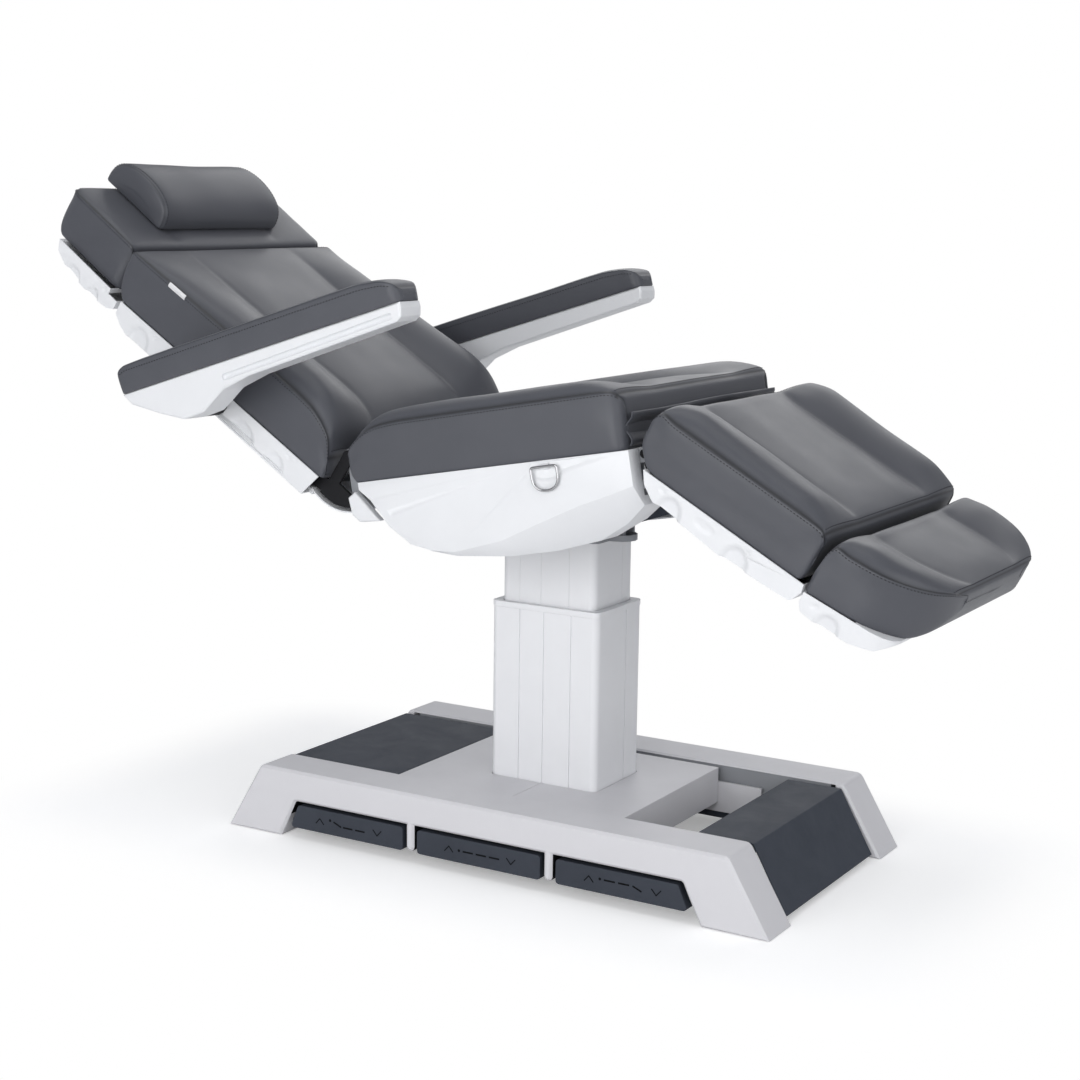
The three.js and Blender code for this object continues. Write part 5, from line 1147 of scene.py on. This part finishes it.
class FLAP_OT_make(TableOperator, bpy.types.Operator):
    """Make the folded fabric between the seat and the leg section"""

    bl_idname = "treatment_table.flap"
    bl_label = "Joint flap"

    def execute(self, context):
        low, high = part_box("leg_joint_flap")
        columns, rows = 72, 26
        vertices = []
        for row in range(rows + 1):
            share = row / rows
            for column in range(columns + 1):
                y = low.y + (high.y - low.y) * column / columns
                wave = 0.0007 * math.sin(y * 23 + share * 5) + 0.0004 * math.sin(y * 67 + 1.3)
                fold = 0.0062 * math.sin(share * 2 * math.pi * 1.25 + 0.6)
                x = (low.x + high.x) / 2 + fold + wave * (0.4 + 0.6 * share)
                z = low.z + (high.z - low.z - 0.009) * share + 0.0012 * math.sin(y * 13 + 0.8)
                vertices.append((x, y, z))
        piece = grid_sheet("leg_joint_flap_cloth", vertices, rows, columns)
        thickened(piece, 0.0012, 0)
        smooth_shaded(piece.data)
        paint(piece, "upholstery")
        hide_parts("leg_joint_flap")
        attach(piece, "seat")
        return {"FINISHED"}


class SHELLS_OT_make(TableOperator, bpy.types.Operator):
    """Finish the white shells of the sections"""

    bl_idname = "treatment_table.shells"
    bl_label = "White shells"

    def execute(self, context):
        radius = self.settings.edge_radius
        hull = softened("seat_shell", "white_shell", 0.0014, 2, sharp=60, weighted=False)
        hollows = [(-146, 60, 17, 10, 9, 0.3), (-134, 40, 13, 28, 6, 0.5), (196, 66, 46, 24, 5, 0.5)]
        dented(hull, "seat", hollows, 240, sharp=62, even=False)
        scallops = {
            "back": [
                (-505, -100, 30, 34, 8, 0.35), (-420, -104, 26, 30, 7, 0.35), (-205, -104, 36, 34, 8, 0.35),
                (-115, -104, 26, 30, 7, 0.35), (-470, -66, 8, 6, 3, 0.9), (-90, -66, 8, 6, 3, 0.9),
            ],
            "head": [(-125, -34, 24, 26, 7, 0.35), (-62, -36, 18, 24, 7, 0.35), (-40, 0, 7, 5, 3, 0.9)],
            "leg": [
                (98, -50, 27, 32, 8, 0.35), (238, -54, 28, 34, 8, 0.35), (166, -30, 24, 9, 1.5, 0.4),
                (73, -20, 7, 5, 3, 0.9), (252, -22, 7, 5, 3, 0.9),
            ],
            "foot": [(62, -38, 24, 26, 7, 0.35), (30, -14, 7, 5, 3, 0.9)],
        }
        for section, dents in scallops.items():
            piece = softened(f"{section}_shell", "white_shell", radius, 3, weighted=False)
            dented(piece, section, dents, 285)
        for hand, side in (("right", -1), ("left", 1)):
            softened(f"{hand}_hinge_cover", "white_shell", 0.0012, 2)
            low, high = sorted((side * 447.5, side * 462))
            groove = box_cutter(
                f"{hand}_groove", f"{hand}_arm", (150, low, 17), (536, high, 28), 4.2, rise=0.0236,
            )
            softened(f"{hand}_arm_support", "white_shell", radius, 3, cutters=[groove])
        return {"FINISHED"}


class BASE_OT_make(TableOperator, bpy.types.Operator):
    """Finish the rails, the covers and the pedals of the base"""

    bl_idname = "treatment_table.base"
    bl_label = "Base"

    def execute(self, context):
        radius = self.settings.edge_radius
        for hand in ("right", "left"):
            rail = softened(f"{hand}_base_rail", "rail_white", radius, 3)
            self.paint_pocket_shade(rail)
            for place in ("head", "middle", "foot"):
                softened(f"{hand}_{place}_pedal", "pedal_rubber", 0.0024, 3)
        for node in ("head_end_cover", "foot_end_cover"):
            softened(node, "slate_plastic", 0.0018, 3)
        for node in ("column_cover_head", "column_cover_foot"):
            softened(node, "rail_white", 0.0012, 2)
        return {"FINISHED"}

    def paint_pocket_shade(self, rail):
        """Painted shade: black finish inside the pedal cutouts of a rail, where shade falls"""
        points = coordinates(rail.data)
        inner, outer = np.sort(np.abs([points[:, 1].min(), points[:, 1].max()]))
        # The middle of the row of cutouts, how far it reaches, and the walls beside it that stay pale
        middle_x, middle_z, reach_x, reach_z = 0.082, 0.045, 0.425, 0.029
        inner_wall, outer_wall = 0.002, 0.0045
        # Painted shade: the faces deep inside the cutouts take the black frame finish
        rail.data.materials.append(finishes["black_frame"])
        for face in rail.data.polygons:
            x, y, z = face.center
            deep = inner + inner_wall < abs(y) < outer - outer_wall
            if deep and abs(z - middle_z) < reach_z and abs(x - middle_x) < reach_x:
                face.material_index = 1


class MARKS_OT_make(TableOperator, bpy.types.Operator):
    """Press the plain arrows and bed outlines into the pedal faces"""

    bl_idname = "treatment_table.marks"
    bl_label = "Pedal marks"

    def execute(self, context):
        # Each stroke: start x, start z, end x, end z, from the middle of the face
        arrow = [(-70, -5, -61, 5), (-61, 5, -52, -5), (62, 5, 71, -5), (71, -5, 80, 5)]
        lines = {
            "head": [(-28, 3.6, -12, -3), (-6, -3, 14, -3), (22, -3, 42, -3)],
            "middle": [(-30, 0, -10, 0), (-2, 0, 18, 0), (26, 0, 46, 0)],
            "foot": [(-30, 3, -10, 3), (-2, 3, 18, 3), (26, 3, 42, -3.6)],
        }
        dots = {"head": (-37, 5.5), "middle": (-39, 0.5), "foot": (-39, 3.5)}
        for hand, side in (("right", -1), ("left", 1)):
            for place, strokes in lines.items():
                low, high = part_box(f"{hand}_{place}_pedal")
                middle = Vector(((low.x + high.x) / 2, 0, (low.z + high.z) / 2))
                face = low.y if side < 0 else high.y
                work = bmesh.new()
                for x0, z0, x1, z1 in arrow + strokes:
                    self.stroke(work, x0, z0, x1, z1, 2.0 if (x0, z0, x1, z1) in arrow else 3.0)
                dot_x, dot_z = dots[place]
                bmesh.ops.create_cone(
                    work, cap_ends=True, segments=16, radius1=2.6, radius2=2.6, depth=0.5,
                    matrix=Matrix.Translation((dot_x, 0, dot_z)) @ Matrix.Rotation(math.pi / 2, 4, "X"),
                )
                bmesh.ops.recalc_face_normals(work, faces=work.faces)
                mesh = mesh_from(work, f"{hand}_{place}_marks")
                flip = Matrix.Rotation(math.pi, 4, "Z") if side > 0 else Matrix.Identity(4)
                mesh.transform(Matrix.Translation((middle.x, face, middle.z)) @ flip @ Matrix.Scale(MM, 4))
                piece = link(f"{hand}_{place}_marks", mesh)
                piece.data.materials.append(finishes["mark"])
                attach(piece, nodes[f"{hand}_{place}_pedal"]["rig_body"])
        return {"FINISHED"}

    def stroke(self, work, x0, z0, x1, z1, width):
        """A flat bar from one point of the face to another"""
        length = math.hypot(x1 - x0, z1 - z0)
        turn = Matrix.Rotation(-math.atan2(z1 - z0, x1 - x0), 4, "Y")
        place = Matrix.Translation(((x0 + x1) / 2, 0, (z0 + z1) / 2))
        size = Matrix.Diagonal((length + width * 0.6, 0.5, width, 1))
        bmesh.ops.create_cube(work, size=1.0, matrix=place @ turn @ size)


class TAG_OT_make(TableOperator, bpy.types.Operator):
    """Sew a small bare tag into the seam of the back"""

    bl_idname = "treatment_table.tag"
    bl_label = "Seam tag"

    def execute(self, context):
        shape = CushionShape(**cushion_table["back_cushion"])
        columns, rows = 16, 8
        xs = np.linspace(-492, -446, columns + 1)
        vertices = []
        for row in range(rows + 1):
            points = shape.point(xs, np.full(len(xs), 1.0 - 0.012 * row))
            points[:, 1] = -points[:, 1] - 0.7 - 0.9 * math.sin(row / rows * math.pi)
            vertices.extend(in_world("back", points).tolist())
        piece = grid_sheet("back_seam_tag", vertices, rows, columns, turned=True)
        thickened(piece, 0.0004, 1)
        smooth_shaded(piece.data, 40)
        piece.data.materials.append(finishes["tag"])
        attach(piece, "back")
        return {"FINISHED"}


def screw_tree():
    """Geometry nodes that set a screw head on each point, facing outward, with a black hex on it that is
    painted shade in its socket
    """
    tree = bpy.data.node_groups.new("screw_set", "GeometryNodeTree")
    given, out = sockets(
        tree,
        {
            "Geometry": "Geometry", "Radius": 0.0045, "Height": 0.0022, "Steel": "Material",
            "Socket": "Material",
        },
        {"Geometry": "Geometry"},
    )
    points = add(tree, "GeometryNodeMeshToPoints", {"Mesh": given["Geometry"]}).outputs["Points"]
    outward = add(tree, "GeometryNodeInputNamedAttribute", {"Name": "outward"}, data_type="FLOAT_VECTOR")
    turn = add(
        tree, "FunctionNodeAlignRotationToVector", {"Vector": outward.outputs["Attribute"]}, axis="Z",
    ).outputs["Rotation"]
    both = add(tree, "GeometryNodeJoinGeometry")
    # The second, black hex is painted shade standing for the socket recess
    for sides, wide, tall, material in ((20, 1.0, 1.0, "Steel"), (6, 0.5, 1.06, "Socket")):
        radius = maths(tree, "MULTIPLY", given["Radius"], wide)
        depth = maths(tree, "MULTIPLY", given["Height"], tall)
        head = add(tree, "GeometryNodeMeshCylinder", {"Vertices": sides, "Radius": radius, "Depth": depth})
        placed = add(
            tree, "GeometryNodeInstanceOnPoints",
            {"Points": points, "Instance": head.outputs["Mesh"], "Rotation": turn},
        ).outputs["Instances"]
        fill(tree, both, Geometry=flat_and_painted(tree, placed, given[material]))
    fill(tree, out, Geometry=both.outputs["Geometry"])
    return tree


class SCREWS_OT_make(TableOperator, bpy.types.Operator):
    """Set the screws that hold the shells under the sections"""

    bl_idname = "treatment_table.screws"
    bl_label = "Screws"

    def execute(self, context):
        table = {
            "back": [(x, y) for x in (-505, -380, -200, -75) for y in (-225, 225)],
            "head": [(x, y) for x in (-140, -55) for y in (-225, 225)],
            "leg": [(x, y) for x in (75, 190, 310) for y in (-225, 225)],
            "foot": [(x, y) for x in (30, 95) for y in (-190, 190)],
        }
        tree = screw_tree()
        for section, places in table.items():
            skin = skin_tree(bpy.data.objects[f"{section}_shell_skin"])
            matrix = section_matrix(section)
            up = (matrix.to_3x3() @ Vector((0, 0, 1))).normalized()
            hits = [skin.ray_cast(matrix @ Vector((x, y, -300)), up) for x, y in places]
            hits = [(place, normal) for place, normal, _, _ in hits if place is not None]
            mesh = bpy.data.meshes.new(f"{section}_shell_screws")
            mesh.from_pydata([tuple(place) for place, _ in hits], [], [])
            outward = mesh.attributes.new("outward", "FLOAT_VECTOR", "POINT")
            outward.data.foreach_set("vector", np.array([normal for _, normal in hits], np.float32).ravel())
            piece = link(mesh.name, mesh)
            run_tree(piece, tree, Steel=finishes["bright_steel"], Socket=finishes["black_frame"])
            smooth_shaded(piece.data, 40)
            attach(piece, section)
        return {"FINISHED"}


class INLET_OT_make(TableOperator, bpy.types.Operator):
    """Set three contact pins in the power inlet"""

    bl_idname = "treatment_table.inlet"
    bl_label = "Inlet pins"

    def execute(self, context):
        low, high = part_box("power_inlet")
        middle = (low + high) / 2
        work = bmesh.new()
        for y, z in ((-0.007, -0.002), (0.007, -0.002), (0.0, 0.003)):
            place = Matrix.Translation((low.x + 0.008, middle.y + y, middle.z + z))
            bmesh.ops.create_cube(work, size=1.0, matrix=place @ Matrix.Diagonal((0.014, 0.002, 0.004, 1)))
        piece = link("inlet_pins", mesh_from(work, "inlet_pins"))
        piece.data.materials.append(finishes["bright_steel"])
        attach(piece, "base")
        return {"FINISHED"}


class COLUMN_OT_make(TableOperator, bpy.types.Operator):
    """Finish the lifting column"""

    bl_idname = "treatment_table.column"
    bl_label = "Column"

    def execute(self, context):
        for node in ("column_outer_tube", "column_trim_ring"):
            softened(node, "column_paint", 0.0007, 2)
        low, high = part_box("column_inner_tube")
        size = high - low
        cutters = []
        for index, share in enumerate((0.2, 0.43, 0.73)):
            for side, y in (("near", low.y), ("far", high.y)):
                x = low.x + size.x * share
                name = f"{side}_groove_{index}"
                cutters.append(self.groove(name, (x, y), (0.0012, 0.0018), low.z, high.z))
        for side, x in (("head", low.x), ("foot", high.x)):
            y = low.y + size.y * 0.71
            cutters.append(self.groove(f"{side}_groove", (x, y), (0.0018, 0.0012), low.z, high.z))
        softened("column_inner_tube", "column_paint", 0, 0, cutters=cutters)
        softened("column_head_bracket", "grey_frame", 0.0012, 2)
        return {"FINISHED"}

    def groove(self, name, centre, size, low, high):
        """A cutter for a groove that runs the height of the column"""
        half = [size[0] / 2, size[1] / 2]
        lows = (centre[0] - half[0], centre[1] - half[1], low - 0.01)
        highs = (centre[0] + half[0], centre[1] + half[1], high + 0.01)
        return box_cutter(name, None, lows, highs, 0.0003, 1)


class STEELWORK_OT_make(TableOperator, bpy.types.Operator):
    """Finish the frames, shafts and drives"""

    bl_idname = "treatment_table.steelwork"
    bl_label = "Steelwork"

    def execute(self, context):
        table = {
            "grey_frame": ("base_frame", "seat_frame", "lift_motor"),
            "rail_white": ("right_pedal_bracket", "left_pedal_bracket"),
            "black_frame": (
                "back_frame", "head_frame", "leg_frame", "foot_frame", "control_box", "power_inlet",
                "back_actuator",
                "leg_actuator", "tilt_actuator", "back_hinge_shaft", "leg_hinge_shaft", "head_hinge_shaft",
                "foot_hinge_shaft",
            ),
            "bright_steel": (
                "lift_push_rod", "tilt_pin", "tilt_actuator_rod", "back_actuator_rod", "leg_actuator_rod",
            ),
            "slate_plastic": ("mechanism_cover",),
        }
        for name, members in table.items():
            for node in members:
                nodes[node].data.materials.clear()
                nodes[node].data.materials.append(finishes[name])
        return {"FINISHED"}


class RINGS_OT_make(TableOperator, bpy.types.Operator):
    """Make the two chrome rings"""

    bl_idname = "treatment_table.rings"
    bl_label = "Rings"

    def execute(self, context):
        for hand in ("right", "left"):
            softened(f"{hand}_d_ring", "chrome_ring", 0, 0, divide=2, sharp=None)
        return {"FINISHED"}


# The camera is turned this far about its own axis, in degrees
CAMERA_ROLL = 0.78


class STAGE_OT_make(bpy.types.Operator):
    """Make the floor, the lamps and the camera"""

    bl_idname = "treatment_table.stage"
    bl_label = "Stage"

    def execute(self, context):
        settings = context.scene.treatment_stage
        scene = context.scene
        scene.view_settings.view_transform = "Standard"
        world = bpy.data.worlds.new("pale_room")
        scene.world = world
        world.use_nodes = True
        tree = world.node_tree
        tree.nodes.clear()
        camera_ray = add(tree, "ShaderNodeLightPath").outputs["Is Camera Ray"]
        lit, seen = (
            add(tree, "ShaderNodeBackground", {"Color": colour, "Strength": level}).outputs["Background"]
            for colour, level in (((0.93, 0.95, 1.0, 1), settings.world_level), ((1, 1, 1, 1), 1.0))
        )
        mix = add(tree, "ShaderNodeMixShader", {"Fac": camera_ray, 1: lit, 2: seen})
        add(tree, "ShaderNodeOutputWorld", {"Surface": mix.outputs["Shader"]})
        work = bmesh.new()
        bmesh.ops.create_circle(work, cap_ends=True, radius=9.0, segments=64)
        bmesh.ops.translate(work, vec=(0, 0, -0.0005), verts=work.verts)
        floor = link("floor", mesh_from(work, "floor"))
        floor.data.materials.append(self.floor_finish())
        self.lamp("main_lamp", (0.2, -4.3, 1.5), (0.0, 0.0, 0.6), (4.4, 2.8), settings.key_power)
        self.lamp("side_lamp", (4.4, -1.6, 1.9), (0.0, 0.0, 0.6), (5.0, 3.6), settings.fill_power)
        self.lamp("back_lamp", (-0.9, 3.6, 2.9), (0.0, 0.0, 0.8), (3.6, 3.0), settings.back_power)
        self.lamp("top_lamp", (0.0, -0.4, 4.0), (0.0, 0.0, 0.6), (3.0, 3.0), settings.top_power)
        self.camera()
        return {"FINISHED"}

    def floor_finish(self):
        """Pale floor that is white to the camera outside the shadow of the table"""
        material = bpy.data.materials.new("pale_floor")
        material.use_nodes = True
        tree = material.node_tree
        tree.nodes.clear()
        place = add(tree, "ShaderNodeTexCoord").outputs["Object"]
        # How far a place is from the shaded middle of the floor, which has this half length and half width
        shaded = (0.78, 0.36, 0)
        for operation, value in (
            ("MULTIPLY", (1, 1, 0)), ("ABSOLUTE", None), ("SUBTRACT", shaded), ("MAXIMUM", (0, 0, 0)),
        ):
            values = {0: place} if value is None else {0: place, 1: value}
            place = add(tree, "ShaderNodeVectorMath", values, operation=operation).outputs["Vector"]
        distance = add(tree, "ShaderNodeVectorMath", {0: place}, operation="LENGTH").outputs["Value"]
        fade = spread_out(tree, distance, 0.0, 0.3, interpolation_type="SMOOTHSTEP")
        camera_ray = add(tree, "ShaderNodeLightPath").outputs["Is Camera Ray"]
        seen = maths(tree, "MULTIPLY", camera_ray, fade)
        lifted = maths(tree, "MULTIPLY", camera_ray, 0.3)
        diffuse = add(tree, "ShaderNodeBsdfDiffuse", {"Color": (0.9, 0.9, 0.9, 1)}).outputs["BSDF"]
        lift = add(tree, "ShaderNodeEmission", {"Strength": lifted}).outputs["Emission"]
        both = add(tree, "ShaderNodeAddShader", {0: diffuse, 1: lift}).outputs["Shader"]
        glow = add(tree, "ShaderNodeEmission", {"Strength": 1.0}).outputs["Emission"]
        mix = add(tree, "ShaderNodeMixShader", {"Fac": seen, 1: both, 2: glow})
        add(tree, "ShaderNodeOutputMaterial", {"Surface": mix.outputs["Shader"]})
        return material

    def lamp(self, name, place, aim, size, power):
        """A rectangular lamp that is turned to a point"""
        light = bpy.data.lights.new(name, "AREA")
        light.shape = "RECTANGLE"
        light.size, light.size_y = size
        light.energy = power
        lamp = link(name, light)
        lamp.location = place
        lamp.rotation_euler = (Vector(aim) - Vector(place)).to_track_quat("-Z", "Y").to_euler()

    def camera(self):
        """The camera at the photograph's place"""
        base_x = 0.08195
        place = Vector((1.835 + base_x, -3.159, 1.203))
        aim = Vector((0.034 + base_x, -0.148, 0.6))
        data = bpy.data.cameras.new("photo_camera")
        data.lens = 65.9
        data.sensor_width = 36.0
        data.clip_start, data.clip_end = 0.1, 60.0
        camera = link("photo_camera", data)
        look = (aim - place).to_track_quat("-Z", "Y").to_matrix().to_4x4()
        roll = Matrix.Rotation(math.radians(CAMERA_ROLL), 4, "Z")
        camera.matrix_world = Matrix.Translation(place) @ look @ roll
        bpy.context.scene.camera = camera


steps = [
    FINISHES_OT_make, CUSHIONS_OT_make, ARM_PADS_OT_make, PILLOW_OT_make, FLAP_OT_make, SHELLS_OT_make,
    BASE_OT_make, MARKS_OT_make, TAG_OT_make, SCREWS_OT_make, INLET_OT_make, COLUMN_OT_make,
    STEELWORK_OT_make, RINGS_OT_make, STAGE_OT_make,
]


class TABLE_PT_steps(bpy.types.Panel):
    """Sizes, colours and building steps of the treatment table"""

    bl_idname = "TABLE_PT_steps"
    bl_label = "Treatment table"
    bl_space_type = "VIEW_3D"
    bl_region_type = "UI"
    bl_category = "Treatment table"

    def draw(self, context):
        column = self.layout.column()
        for group in (context.scene.treatment_table, context.scene.treatment_stage):
            for name in group.bl_rna.properties.keys():
                if name not in ("name", "rna_type"):
                    column.prop(group, name)
        for step in steps:
            column.operator(step.bl_idname)


def register():
    """Make the settings, the steps and the panel known"""
    for item in (TableSettings, StageSettings, *steps, TABLE_PT_steps):
        bpy.utils.register_class(item)
    bpy.types.Scene.treatment_table = PointerProperty(type=TableSettings)
    bpy.types.Scene.treatment_stage = PointerProperty(type=StageSettings)


def unregister():
    """Take back what register made known"""
    del bpy.types.Scene.treatment_stage
    del bpy.types.Scene.treatment_table
    for item in (TABLE_PT_steps, *reversed(steps), StageSettings, TableSettings):
        bpy.utils.unregister_class(item)


def main():
    """Run every step"""
    register()
    for step in steps:
        group, name = step.bl_idname.split(".")
        result = getattr(getattr(bpy.ops, group), name)()
        if result != {"FINISHED"}:
            raise RuntimeError(f"{step.bl_idname} didn't finish")


if __name__ == "__main__":
    main()
